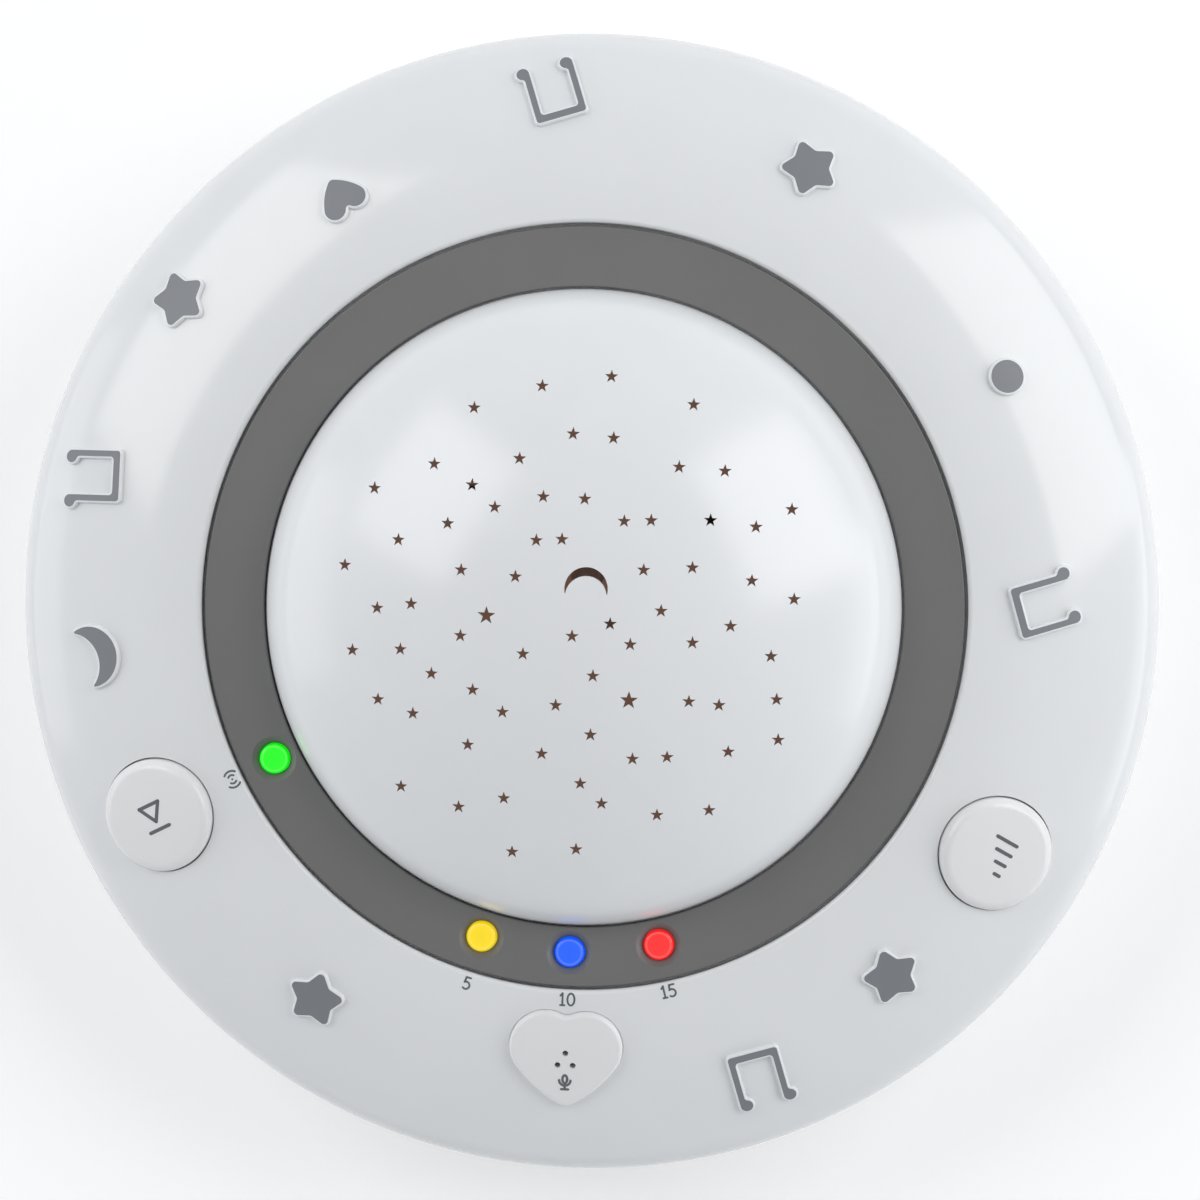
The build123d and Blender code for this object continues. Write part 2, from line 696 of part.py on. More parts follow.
def build_switch_parts():
    """Tact switch, its plunger and its small board, about the button's axis."""
    body = Pos(0.0, 0.0, -switch_depth - switch_height / 2) * Box(switch_side, switch_side, switch_height)
    plunger_length = switch_depth - stem_depth + plunger_engage
    bore_depth = plunger_engage + button_travel + plunger_floor_gap
    body -= Pos(0.0, 0.0, -switch_depth) * Cylinder(plunger_radius + plunger_fit, 2 * bore_depth)
    plunger = Pos(0.0, 0.0, -stem_depth - plunger_length / 2) * Cylinder(plunger_radius, plunger_length)
    half_length = post_offset + post_radius
    half_width = switch_board_width / 2
    board = block((-half_length, half_length), (-half_width, half_width),
                  (-switch_board_depth - board_thickness, -switch_board_depth))
    for side in (-1.0, 1.0):
        board -= Pos(side * post_offset, 0.0, -switch_board_depth) * Cylinder(board_screw_hole, cut_reach)
    return body, plunger, board


def build_mic_cover():
    """Raised heart plate, glued in its pocket, following the shell's curve on both faces."""
    prism = Pos(0.0, 0.0, -cut_reach) * extrude(heart_outline(), 2 * cut_reach)
    plate = (heart_frame * prism) & crown_body(-heart_proud)
    plate -= crown_body(heart_sink - glue_gap)
    return plate - sound_hole_cutters()


# ================================================================ ring, dome and lamps
def build_trim_ring():
    """Ring with a seating wall, countersunk lamp holes and pilot holes for its screws."""
    bevel = ring_edge_bevel
    section = [
        (ring_inner, ring_under_z), (ring_inner, ring_inner_z - bevel),
        (ring_inner + bevel, ring_inner_z), (ring_outer - bevel, ring_outer_z),
        (ring_outer, ring_outer_z - bevel), (ring_outer, ledge_z),
        (ring_outer - ring_foot_wall, ledge_z), (ring_outer - ring_foot_wall, ring_under_z),
    ]
    ring = turned_polygon(*section)
    face_z = lamp_face_z(lamp_circle)
    for angle in lamp_angles:
        place = polar(lamp_circle, angle)
        ring -= rod(lamp_radius + lamp_fit, ledge_z, face_z + cut_over, place)
        bore = lamp_radius + lamp_fit
        cone = Cone(bore, 2 * countersink_radius - bore, 2 * countersink_depth)
        ring -= Pos(place[0], place[1], face_z) * cone
    for angle in ring_screw_angles:
        place = polar(ring_screw_circle, angle)
        boss = rod(small_head_radius, ledge_z, ring_under_z + ring_thickness / 4, place)
        ring += boss
        tip = ledge_under_z + ring_screw_length + pilot_over / 2
        ring -= rod(small_shank_radius + screw_fit, ledge_z - cut_over, tip, place)
    return ring


def dome_section(inset):
    """Arcs of the dome's section, from the axis to the skirt, moved inwards by inset."""
    crown = dome_crown_radius - inset
    shoulder = dome_shoulder_radius - inset
    shoulder_x = dome_radius - dome_shoulder_radius
    share = shoulder_x / (dome_crown_radius - dome_shoulder_radius)
    centre_z = dome_shoulder_z - (dome_crown_radius - dome_shoulder_radius) * math.sqrt(1.0 - share ** 2)
    tangent = (crown * share, centre_z + crown * math.sqrt(1.0 - share ** 2))
    half = math.asin(share) / 2
    crown_middle = (crown * math.sin(half), centre_z + crown * math.cos(half))
    turn = (math.asin(share) + math.pi / 2) / 2
    shoulder_middle = (shoulder_x + shoulder * math.sin(turn), dome_shoulder_z + shoulder * math.cos(turn))
    skirt = (shoulder_x + shoulder, dome_shoulder_z)
    apex = (0.0, centre_z + crown)
    crown_arc = ThreePointArc(apex, crown_middle, tangent)
    return apex, crown_arc, ThreePointArc(tangent, shoulder_middle, skirt), skirt


def build_star_dome():
    """Dome with its skirt and flange, pierced by star holes and one moon."""
    apex, crown, shoulder, skirt = dome_section(0.0)
    inner_apex, inner_crown, inner_shoulder, inner_skirt = dome_section(dome_wall)
    flange = dome_radius + dome_flange_width
    low = Polyline(skirt, (dome_radius, ring_under_z), (flange, ring_under_z), (flange, ledge_z),
                   (inner_skirt[0], ledge_z), inner_skirt)
    dome = turned(crown, shoulder, *low.edges(), inner_shoulder, inner_crown, Line(inner_apex, apex))
    height = apex[1] - ring_inner_z
    cutters = []
    charts = ((star_rings, star_tip), (large_star_rings, large_star_tip))
    for chart, tip in charts:
        for radius, angles in chart.items():
            for angle in angles:
                place = Pos(*polar(radius, angle), ring_inner_z)
                cutters.append(place * extrude(star_outline(tip, star_waist), height + cut_over))
    moon = moon_outline(moon_radius, moon_bite_radius, -moon_bite_drop)
    cutters.append(Pos(*moon_place, ring_inner_z) * extrude(moon, height + cut_over))
    return dome - cutters


def lamp_on_board(angle, circle, top_z, length, top_radius):
    """Lamp on a circle round the axis, with a collar and two legs through the main board."""
    place = polar(circle, angle)
    low = top_z - length
    body = rod(lamp_radius, low, top_z, place)
    lamp = fillet(body.edges().group_by(Axis.Z)[-1], top_radius)
    lamp += rod(lamp_collar_radius, low, low + lamp_collar_height, place)
    half = lamp_leg / 2
    for x, y in leg_places(circle, angle):
        lamp += block((x - half, x + half), (y - half, y + half), (board_under_z - leg_tail, low))
    return lamp


def leg_places(circle, angle):
    """Where the two legs of a lamp on a circle pass through the board."""
    x, y = polar(circle, angle)
    step_x, step_y = polar(lamp_leg_spacing / 2, angle + 90.0)
    return ((x + step_x, y + step_y), (x - step_x, y - step_y))


# ================================================================ main board
projection_angles = (90.0, 210.0, 330.0)
indicator_top_z = lamp_face_z(lamp_circle) - lamp_sink
sockets = {
    "mod": (*polar(main_board_radius - button_socket_inset, button_angles["mod"]), button_angles["mod"]),
    "vol": (*polar(main_board_radius - button_socket_inset, button_angles["vol"]), button_angles["vol"]),
    "mic": (*polar(main_board_radius - mic_socket_inset, front_angle), front_angle),
    "speaker": (0.0, speaker_place[1] - speaker_socket_inset, -90.0),
    "power": (37.0, 6.0, 0.0),
    "battery": (6.0, -17.0, 0.0),
}


def build_main_board():
    """Round board with holes for its screws and the lamps' legs."""
    board = rod(main_board_radius, board_under_z, board_z)
    low = board_under_z - cut_over
    high = board_z + cut_over
    holes = [rod(board_screw_hole, low, high, polar(board_boss_circle, a)) for a in board_boss_angles]
    legs = [leg_places(lamp_circle, angle) for angle in lamp_angles]
    legs += [leg_places(projection_circle, angle) for angle in projection_angles]
    for pair in legs:
        holes += [rod(leg_hole_radius, low, high, place) for place in pair]
    return board - holes


def build_sockets():
    """Lead sockets on the board's underside, each facing the way its lead leaves."""
    solids = []
    for x, y, turn in sockets.values():
        place = Pos(x, y, board_under_z - socket_size[2] / 2) * Rot(0.0, 0.0, turn)
        solids.append(place * Box(*socket_size))
    return solids


def socket_exit(name):
    """Point in the middle of a socket's mouth."""
    x, y, turn = sockets[name]
    step_x, step_y = polar(socket_size[0] / 2, turn)
    return x + step_x, y + step_y, board_under_z - socket_size[2] / 2


# ================================================================ base shell
def speaker_hole_places():
    """Grille holes: one in the middle and rings of six, twelve and so on round it."""
    places = [speaker_place]
    for ring in range(1, grille_rings + 1):
        for index in range(6 * ring):
            x, y = polar(ring * grille_pitch, 360.0 * index / (6 * ring))
            places.append((speaker_place[0] + x, speaker_place[1] + y))
    return places


def speaker_post_places():
    """Centres of the three posts whose screws hold the speaker."""
    places = []
    for angle in speaker_post_angles:
        x, y = polar(speaker_radius + speaker_post_offset, angle)
        places.append((speaker_place[0] + x, speaker_place[1] + y))
    return places


def seam_groove():
    """Cutter for the small chamfer round the base shell's upper edge."""
    beyond = body_radius + cut_over
    low = seam_z - seam_bevel
    return turned_polygon((body_radius - seam_bevel, seam_z), (body_radius, low), (beyond, low),
                          (beyond, seam_z + cut_over), (body_radius - seam_bevel, seam_z + cut_over))


def build_lower_housing():
    """Base shell with its tongue, pillars, speaker seat, grille, battery bay and switch seat."""
    shell = base_body() - base_body(shell_wall) - seam_groove()
    tongue_outer = body_radius - shell_wall - fit_gap
    root_z = seam_z - 2 * tongue_height
    ring = tube(tongue_outer, tongue_outer - tongue_wall, root_z, seam_z + tongue_height)
    skirt = tube(body_radius - shell_wall / 2, tongue_outer - tongue_wall, root_z, seam_z - tongue_height / 2)
    shell += ring + (skirt & base_body(shell_wall / 2))
    for index in range(housing_screw_count):
        place = polar(housing_screw_circle, housing_screw_angle + 360.0 * index / housing_screw_count)
        shell += rod(well_radius + pillar_wall, base_z + shell_wall / 2, base_z + pillar_top, place)
        shell -= rod(well_radius, base_z - cut_over, base_z + well_depth, place)
        shell -= rod(housing_shank_radius + 2 * fit_gap, base_z, base_z + pillar_top + cut_over, place)
    for angle in foot_angles:
        place = polar(foot_circle, angle)
        shell -= rod(foot_radius + fit_gap, base_z - cut_over, base_z + foot_recess, place)
    shell += speaker_seat()
    low = base_z - cut_over
    high = floor_z + cut_over
    shell -= [rod(grille_hole_radius, low, high, place) for place in speaker_hole_places()]
    tip = flange_top_z - speaker_screw_length - fit_gap
    pilot = small_shank_radius + screw_fit
    shell -= [rod(pilot, tip, flange_top_z + cut_over, place) for place in speaker_post_places()]
    shell = add_battery_bay(shell)
    return add_switch_seat(shell)


def speaker_seat():
    """Collar round the speaker with three screw posts."""
    seat = tube(speaker_radius + fit_gap + speaker_collar_wall, speaker_radius + fit_gap,
                floor_z - shell_wall / 2, flange_top_z, speaker_place)
    for place in speaker_post_places():
        seat += rod(speaker_post_radius, floor_z - shell_wall / 2, flange_top_z, place)
    return seat - rod(speaker_radius + fit_gap, floor_z, flange_top_z + cut_over, speaker_place)


def add_battery_bay(shell):
    """Adds the bay's walls and roof and the screw shelf, and opens the floor for the door."""
    outer_x = bay_half_x + bay_wall
    low = base_z + shell_wall / 2
    outside = (-outer_x, outer_x)
    shell += block(outside, (bay_near_y - bay_wall, bay_far_y + bay_wall), (low, bay_top_z))
    shell += block(outside, (door_free_y - bay_wall, bay_near_y), (low, shelf_z + shelf_thickness))
    screw_place = (0.0, door_free_y + door_screw_inset)
    shell += rod(door_boss_radius, shelf_z, shelf_z + shelf_thickness + door_boss_height, screw_place)
    inside = (-bay_half_x, bay_half_x)
    shell -= block(inside, (bay_near_y, bay_far_y), (base_z - cut_over, bay_roof_z))
    shell -= block(inside, (door_free_y, bay_near_y + cut_over), (base_z - cut_over, shelf_z))
    clear = door_shank_radius + door_screw_clear
    boss_bore_top = door_top_z + door_shank_reach + pilot_over
    shell -= rod(clear, shelf_z - cut_over, boss_bore_top, screw_place)
    reach = math.hypot(tongue_length, shell_wall + tongue_clear + tongue_thickness)
    for x in tongue_places:
        half = tongue_width / 2 + face_gap
        shell -= block((x - half, x + half), (bay_far_y - cut_over, bay_far_y + bay_wall + cut_over),
                       (floor_z, base_z + reach + face_gap))
    for side in (-1.0, 1.0):
        y = bay_place_y + side * cell_pitch / 2
        shell += block(inside, (y - rib_thickness / 2, y + rib_thickness / 2),
                       (bay_roof_z - rib_height, bay_roof_z + bay_wall / 2))
    for x, y in tab_places():
        half = contact_tab_width / 2 + face_gap
        step = contact_thickness / 2 + fit_gap
        shell -= block((x - step, x + step), (y - half, y + half),
                       (bay_roof_z - cut_over, bay_top_z + cut_over))
    return shell


def tab_places():
    """Centres of the two contact tabs that leads are soldered to, above the bay's roof."""
    x = bay_half_x - contact_thickness / 2
    return ((x, bay_place_y - cell_pitch), (-x, bay_place_y + cell_pitch))


def add_switch_seat(shell):
    """Adds the slide switch's posts and the slot and finger recess for its knob."""
    for place in slide_screw_places():
        shell += rod(post_radius, floor_z - shell_wall / 2, slide_ear_z - slide_ear_thickness, place)
        shell -= rod(small_shank_radius + screw_fit, floor_z - shell_wall / 4, slide_ear_z, place)
    low, high = slide_range(slide_knob_length)
    high += slide_travel
    shell -= slide_block(slide_knob_width, low, high, (base_z - cut_over, floor_z + cut_over), face_gap)
    recess = slide_block(slide_knob_width, low, high, (base_z - cut_over, base_z + slide_recess),
                         face_gap + slide_recess_margin)
    return shell - fillet(recess.edges().filter_by(Axis.Z), slide_recess_margin / 2)


# ================================================================ speaker
def speaker_frame_section(inner, throat):
    """Pressed frame about the speaker's axis: flange, basket and the hole for the voice coil."""
    basket_z = flange_top_z + basket_height
    coil_hole = voice_coil_radius + face_gap
    under_z = basket_z - basket_wall
    return turned_polygon((throat, speaker_z), (speaker_radius, speaker_z), (speaker_radius, flange_top_z),
                          (inner, flange_top_z), (basket_top_radius, basket_z), (coil_hole, basket_z),
                          (coil_hole, under_z), (basket_top_radius - basket_wall, under_z),
                          (inner - basket_slant_wall, flange_top_z), (throat, flange_top_z))


def build_speaker_frame(inner, throat):
    """Frame with four windows in its basket and a terminal strip on its flange."""
    frame = speaker_frame_section(inner, throat)
    for angle in basket_window_angles:
        middle = Pos((basket_top_radius + inner) / 2, 0.0, flange_top_z + basket_height / 2)
        frame -= Rot(0.0, 0.0, angle) * middle * Box(basket_window, basket_window, basket_window_height)
    width, depth, height = terminal_size
    tab_y = -speaker_radius + speaker_flange_width / 2
    return frame + block((-width / 2, width / 2), (tab_y - depth / 2, tab_y + depth / 2),
                         (flange_top_z - speaker_flange_thickness / 2, flange_top_z + height))


def build_speaker_cone(inner, throat):
    """Cone, dust cap and voice coil, with the cone's rim glued under the frame's flange."""
    rim_z = speaker_z - cone_rim_thickness
    rim_edge = throat - face_gap
    cap_z = rim_z + cone_depth
    coil_top_z = flange_top_z + basket_height - basket_wall
    cone = turned_polygon((inner - face_gap, rim_z), (inner - face_gap, speaker_z), (rim_edge, speaker_z),
                          (dust_cap_radius, cap_z + cone_wall), (0.0, cap_z + cone_wall), (0.0, cap_z),
                          (dust_cap_radius - cone_wall, cap_z), (rim_edge - cone_wall, rim_z))
    return cone + tube(voice_coil_radius, voice_coil_radius - cone_wall, cap_z + cone_wall / 2, coil_top_z)


def build_speaker():
    """Gasket, frame, cone and magnet of the speaker, which faces down through the grille."""
    inner = speaker_radius - speaker_flange_width
    throat = inner - cone_rim_width
    gasket = tube(speaker_radius, inner, floor_z, speaker_z)
    frame = build_speaker_frame(inner, throat)
    cone = build_speaker_cone(inner, throat)
    magnet = rod(magnet_radius, flange_top_z + basket_height, flange_top_z + basket_height + magnet_height)
    magnet = chamfer(magnet.edges().group_by(Axis.Z)[-1], magnet_bevel)
    place = Pos(*speaker_place, 0.0)
    return [place * solid for solid in (gasket, frame, cone, magnet)]


# ================================================================ batteries and door
def cell_places():
    """Middle of each cell's row and which way its raised end points."""
    return [(bay_place_y + (row - 1) * cell_pitch, 1.0 if row != 1 else -1.0) for row in range(3)]


def build_cell(y, facing):
    """One AA cell along X: a can with a raised contact at one end."""
    plate_x = bay_half_x - contact_thickness
    nub_face = facing * plate_x
    can_end = nub_face - facing * nub_length
    can_mid = can_end - facing * cell_body_length / 2
    can = Pos(can_mid, y, cell_z) * Rot(0.0, 90.0, 0.0) * Cylinder(cell_radius, cell_body_length)
    can = fillet(can.edges().filter_by(GeomType.CIRCLE), cell_radius / 14)
    nub_mid = nub_face - facing * nub_length
    nub = Pos(nub_mid, y, cell_z) * Rot(0.0, 90.0, 0.0) * Cylinder(nub_radius, 2 * nub_length)
    return can + nub


def build_cell_spring(y, facing):
    """Coil spring between a cell's flat end and its contact plate."""
    plate_x = bay_half_x - contact_thickness
    wire = spring_wire / 2
    height = spring_length - spring_wire
    start = (-facing * (plate_x - wire), y, cell_z)
    path = Helix(height / spring_turns, height, spring_radius, center=start, direction=(facing, 0.0, 0.0))
    return sweep(Plane(origin=path @ 0, z_dir=path % 0) * Circle(wire), path=path)


def build_contacts():
    """Four contact plates against the bay's end walls; the two single ones have solder tabs."""
    low = cell_z - contact_height / 2
    high = cell_z + contact_height / 2
    plates = []
    half = contact_tab_width / 2
    for side, first_row, last_row in ((1.0, -1, -1), (1.0, 0, 1), (-1.0, -1, 0), (-1.0, 1, 1)):
        wall = sorted((side * bay_half_x, side * (bay_half_x - contact_thickness)))
        y_low = bay_place_y + first_row * cell_pitch - contact_width / 2
        y_high = bay_place_y + last_row * cell_pitch + contact_width / 2
        plate = block(wall, (y_low, y_high), (low, high))
        if first_row == last_row:
            middle = (y_low + y_high) / 2
            plate += block(wall, (middle - half, middle + half),
                           (high - cut_over, bay_top_z + contact_tab_rise))
        plates.append(plate)
    return plates


def build_battery_door():
    """Flush door with two hinge tongues, a screw hole and grip grooves at its free end."""
    gap = face_gap
    hinge_y = bay_far_y - gap
    door = block((-bay_half_x + gap, bay_half_x - gap), (door_free_y + gap, hinge_y), (base_z, door_top_z))
    tongue_low = floor_z + tongue_clear
    tongue_high = tongue_low + tongue_thickness
    for x in tongue_places:
        sides = (x - tongue_width / 2, x + tongue_width / 2)
        door += block(sides, (hinge_y - tongue_thickness, hinge_y), (base_z, tongue_high))
        door += block(sides, (hinge_y - tongue_thickness, bay_far_y + tongue_length),
                      (tongue_low, tongue_high))
    screw_place = (0.0, door_free_y + door_screw_inset)
    door -= rod(door_shank_radius + screw_fit, base_z - cut_over, door_top_z + cut_over, screw_place)
    seat_z = base_z + door_head_height + face_gap
    door -= rod(door_head_radius + face_gap, base_z - cut_over, seat_z, screw_place)
    for index in range(door_groove_count):
        y = bay_near_y + bay_wall + index * door_groove_pitch
        door -= block((-door_groove_length / 2, door_groove_length / 2), (y, y + door_groove_width),
                      (base_z - cut_over, base_z + door_groove_depth))
    return door


def build_door_screw():
    """Captive screw of the battery door."""
    seat_z = base_z + door_head_height + face_gap
    length = door_top_z + door_shank_reach - seat_z
    place = Pos(0.0, door_free_y + door_screw_inset, seat_z)
    return place * screw(door_head_radius, door_head_height, door_shank_radius, length)


# ================================================================ slide switch
def slide_block(width, low_y, high_y, z_range, clear=0.0):
    """Block centred on the slide switch across its travel, widened all round by a clearance."""
    x = switch_place[0]
    half = width / 2 + clear
    return block((x - half, x + half), (low_y - clear, high_y + clear), z_range)


def slide_range(length):
    """Where a part of the slider of some length starts and ends at rest."""
    return switch_place[1] - length / 2, switch_place[1] + length / 2


def slide_screw_places():
    """Centres of the slide switch's two screws."""
    return [(switch_place[0], slide_mid_y + side * slide_post_offset) for side in (-1.0, 1.0)]


def build_slide_switch_body():
    """Can with two ears, hollow for the slider's flange and open below for its knob."""
    can_half = slide_can_length / 2
    ear_half = slide_ear_length / 2
    can = slide_block(slide_can_width, slide_mid_y - can_half, slide_mid_y + can_half, (floor_z, slide_ear_z))
    can += slide_block(slide_ear_width, slide_mid_y - ear_half, slide_mid_y + ear_half,
                       (slide_ear_z - slide_ear_thickness, slide_ear_z))
    low, high = slide_range(slide_flange_length)
    cavity_z = floor_z + slide_can_wall
    roof_z = cavity_z + slide_flange_thickness + 2 * face_gap
    can -= slide_block(slide_flange_width, low, high + slide_travel, (cavity_z, roof_z), face_gap)
    low, high = slide_range(slide_knob_length)
    can -= slide_block(slide_knob_width, low, high + slide_travel,
                       (floor_z - cut_over, cavity_z + cut_over), face_gap)
    for place in slide_screw_places():
        can -= rod(small_shank_radius + 2 * fit_gap, slide_ear_z - 2 * slide_ear_thickness,
                   slide_ear_z + cut_over, place)
    return can


def build_slider():
    """Slider: a flange inside the can and a knob that ends just inside the base's underside."""
    flange_z = floor_z + slide_can_wall + face_gap
    slider = slide_block(slide_flange_width, *slide_range(slide_flange_length),
                         (flange_z, flange_z + slide_flange_thickness))
    return slider + slide_block(slide_knob_width, *slide_range(slide_knob_length),
                                (base_z + slide_lip, flange_z + slide_flange_thickness / 2))


# ================================================================ leads
def lead(*points):
    """Round lead along straight runs joined by bends as large as the runs allow."""
    corners = [Vector(*point) for point in points]
    radii = []
    for before, corner, after in zip(corners, corners[1:], corners[2:]):
        turn = math.radians((corner - before).get_angle(after - corner))
        shorter = min((corner - before).length, (after - corner).length)
        radii.append(lead_bend_share * shorter / math.tan(turn / 2))
    path = FilletPolyline(*corners, radius=radii)
    print("lead bends", [round(radius, 1) for radius in radii])
    return sweep(Plane(origin=path @ 0, z_dir=path % 0) * Circle(lead_radius), path=path)


def radial_point(angle, radius, z):
    """Point at a distance and direction from the axis, at a height."""
    return (*polar(radius, angle), z)


def button_lead(name):
    """Lead from the main board to the underside of a button's switch board."""
    angle = button_angles[name]
    start = socket_exit(name)
    start_radius = math.hypot(start[0], start[1])
    frame = crown_frame(button_circle, angle)
    low = -switch_board_depth - board_thickness
    end = (frame * Pos(0.0, -button_lead_offset, low)).position
    near = (frame * Pos(0.0, -button_lead_offset, low - 6.0)).position
    return lead(start, radial_point(angle, start_radius + 6.5, start[2]),
                radial_point(angle, start_radius + 11.5, start[2] - 7.5), tuple(near), tuple(end))


def mic_lead():
    """Lead from the main board to the back of the microphone."""
    start = socket_exit("mic")
    start_radius = math.hypot(start[0], start[1])
    back = -boot_depth - mic_length - face_gap
    near = (heart_frame * Pos(0.0, 0.0, back - 8.0)).position
    end = (heart_frame * Pos(0.0, 0.0, back)).position
    return lead(start, radial_point(front_angle, start_radius + 9.0, start[2]),
                radial_point(front_angle, start_radius + 17.5, start[2] - 6.5), tuple(near), tuple(end))


def speaker_lead():
    """Lead from the main board down to the speaker's terminal, in one open loop."""
    x, y, z = socket_exit("speaker")
    end_y = speaker_place[1] - speaker_radius + speaker_flange_width / 2 - terminal_size[1] / 2
    end_z = flange_top_z + terminal_size[2] / 2
    return lead((x, y, z), (x, y - 7.5, z), (x, y - 8.5, z - 7.5), (x, y - 4.0, end_z + 1.0),
                (x, end_y - 6.0, end_z), (x, end_y, end_z))


def power_lead():
    """Lead from the main board to the slide switch."""
    x, y, z = socket_exit("power")
    end_x, end_y = switch_place[0], slide_mid_y
    return lead((x, y, z), (x + 7.0, y, z), (x + 12.0, y + 2.0, z - 6.0),
                (end_x, end_y, slide_ear_z + 6.5), (end_x, end_y, slide_ear_z))


def battery_leads():
    """Two leads from the main board to the solder tabs above the battery bay."""
    x, y, z = socket_exit("battery")
    (plus_x, plus_y), (minus_x, minus_y) = tab_places()
    tab_z = bay_top_z + contact_tab_rise / 2
    reach = contact_thickness / 2
    row = socket_size[1] / 5
    plus = lead((x, y - row, z), (x + 6.5, y - row, z), (x + 9.5, y - 12.0, tab_z + 0.8),
                (plus_x - 9.0, plus_y, tab_z), (plus_x - reach, plus_y, tab_z))
    back_x = x - socket_size[0]
    minus = lead((back_x, y, z), (back_x - 6.0, y, z), (minus_x + 15.0, minus_y + 1.0, tab_z + 0.6),
                 (minus_x + 7.0, minus_y, tab_z), (minus_x + reach, minus_y, tab_z))
    return plus, minus


# ================================================================ pieces, written one node at a time
def screws_up(places, level, length):
    """Small screws standing head down at a level, one at each place."""
    return [Pos(*place, level) * screw(small_head_radius, small_head_height, small_shank_radius, length)
            for place in places]


def write_shell():
    """Housings, ring, dome, heart and feet."""
    write("upper_housing", build_upper_housing())
    write("lower_housing", build_lower_housing())
    write("trim_ring", build_trim_ring())
    write("star_dome", build_star_dome())
    write("mic_cover", build_mic_cover())
    feet = []
    for angle in foot_angles:
        foot = rod(foot_radius, 0.0, base_z + foot_recess, polar(foot_circle, angle))
        feet.append(fillet(foot.edges().group_by(Axis.Z)[0], foot_height / 3))
    write("rubber_feet", *feet)


def write_buttons():
    """Both buttons with their switches, boards and screws."""
    board_screws = []
    for name, angle in button_angles.items():
        frame = crown_frame(button_circle, angle)
        body, plunger, board = build_switch_parts()
        write(f"{name}_button", frame * build_button())
        write(f"{name}_switch_plunger", frame * plunger)
        write(f"{name}_switch_body", frame * body)
        write(f"{name}_switch_board", frame * board)
        for side in (-1.0, 1.0):
            seat = frame * Pos(side * post_offset, 0.0, -switch_board_depth - board_thickness)
            held = screw(small_head_radius, small_head_height, small_shank_radius, board_screw_length)
            board_screws.append(seat * held)
    write("switch_board_screws", *board_screws)


def write_board():
    """Main board with its lamps, parts, sockets and screws."""
    write("main_board", build_main_board())
    names = ("timer_lamp_5", "timer_lamp_10", "timer_lamp_15", "voice_lamp")
    for name, angle in zip(names, lamp_angles):
        write(name, lamp_on_board(angle, lamp_circle, indicator_top_z, lamp_length, lamp_top_bevel))
    top_z = board_z + projection_length + projection_lift
    lamps = [lamp_on_board(angle, projection_circle, top_z, projection_length, projection_top_radius)
             for angle in projection_angles]
    write("projection_lamps", *lamps)
    width, depth, height = chip_size
    write("controller_chip", Pos(*chip_place, board_z + height / 2) * Box(width, depth, height))
    top_z = board_z + capacitor_height
    write("capacitors", *[rod(capacitor_radius, board_z, top_z, place) for place in capacitor_places])
    write("lead_sockets", *build_sockets())
    places = [polar(board_boss_circle, angle) for angle in board_boss_angles]
    write("board_screws", *screws_up(places, board_under_z, board_screw_length))
    places = [polar(ring_screw_circle, angle) for angle in ring_screw_angles]
    write("ring_screws", *screws_up(places, ledge_under_z, ring_screw_length))


def write_base():
    """Speaker, batteries, door, switch and the screws of the base."""
    names = ("speaker_gasket", "speaker_frame", "speaker_cone", "speaker_magnet")
    for name, solid in zip(names, build_speaker()):
        write(name, solid)
    turn_over = Rot(180.0, 0.0, 0.0)
    held = screw(speaker_head_radius, small_head_height, small_shank_radius, speaker_screw_length)
    screws = [Pos(*place, flange_top_z) * turn_over * held for place in speaker_post_places()]
    write("speaker_screws", *screws)
    for number, (y, facing) in enumerate(cell_places(), start=1):
        write(f"battery_{number}", build_cell(y, facing))
    write("battery_springs", *[build_cell_spring(y, facing) for y, facing in cell_places()])
    write("battery_contacts", *build_contacts())
    write("battery_door", build_battery_door())
    write("door_screw", build_door_screw())
    write("power_switch_body", build_slide_switch_body())
    write("power_slider", build_slider())
    held = screw(small_head_radius, small_head_height, small_shank_radius, slide_can_height)
    screws = [Pos(*place, slide_ear_z) * turn_over * held for place in slide_screw_places()]
    write("power_switch_screws", *screws)
    screws = []
    for index in range(housing_screw_count):
        place = polar(housing_screw_circle, housing_screw_angle + 360.0 * index / housing_screw_count)
        held = screw(housing_head_radius, housing_head_height, housing_shank_radius, housing_screw_length)
        screws.append(Pos(*place, base_z + well_depth) * held)
    write("housing_screws", *screws)


def write_microphone_and_leads():
    """Microphone in its rubber boot, and the leads between the boards."""
    front = -boot_depth - face_gap
    capsule = Pos(0.0, 0.0, front - mic_length / 2) * Cylinder(mic_radius, mic_length)
    write("mic_capsule", heart_frame * fillet(capsule.edges(), mic_radius / 16))
    middle = Pos(0.0, 0.0, -boot_depth - boot_length / 2)
    boot = Cylinder(mic_radius + boot_wall, boot_length) - Cylinder(mic_radius + screw_fit, boot_length)
    write("mic_boot", heart_frame * middle * boot)
    write("mod_lead", button_lead("mod"))
    write("vol_lead", button_lead("vol"))
    write("mic_lead", mic_lead())
    write("speaker_lead", speaker_lead())
    write("power_lead", power_lead())
    write("battery_leads", *battery_leads())


os.makedirs("parts", exist_ok=True)
write_shell()
write_buttons()
write_board()
write_base()
write_microphone_and_leads()
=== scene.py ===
import math
from functools import partial

import bpy
import numpy as np
from mathutils import Matrix, Vector
from mathutils.geometry import delaunay_2d_cdt


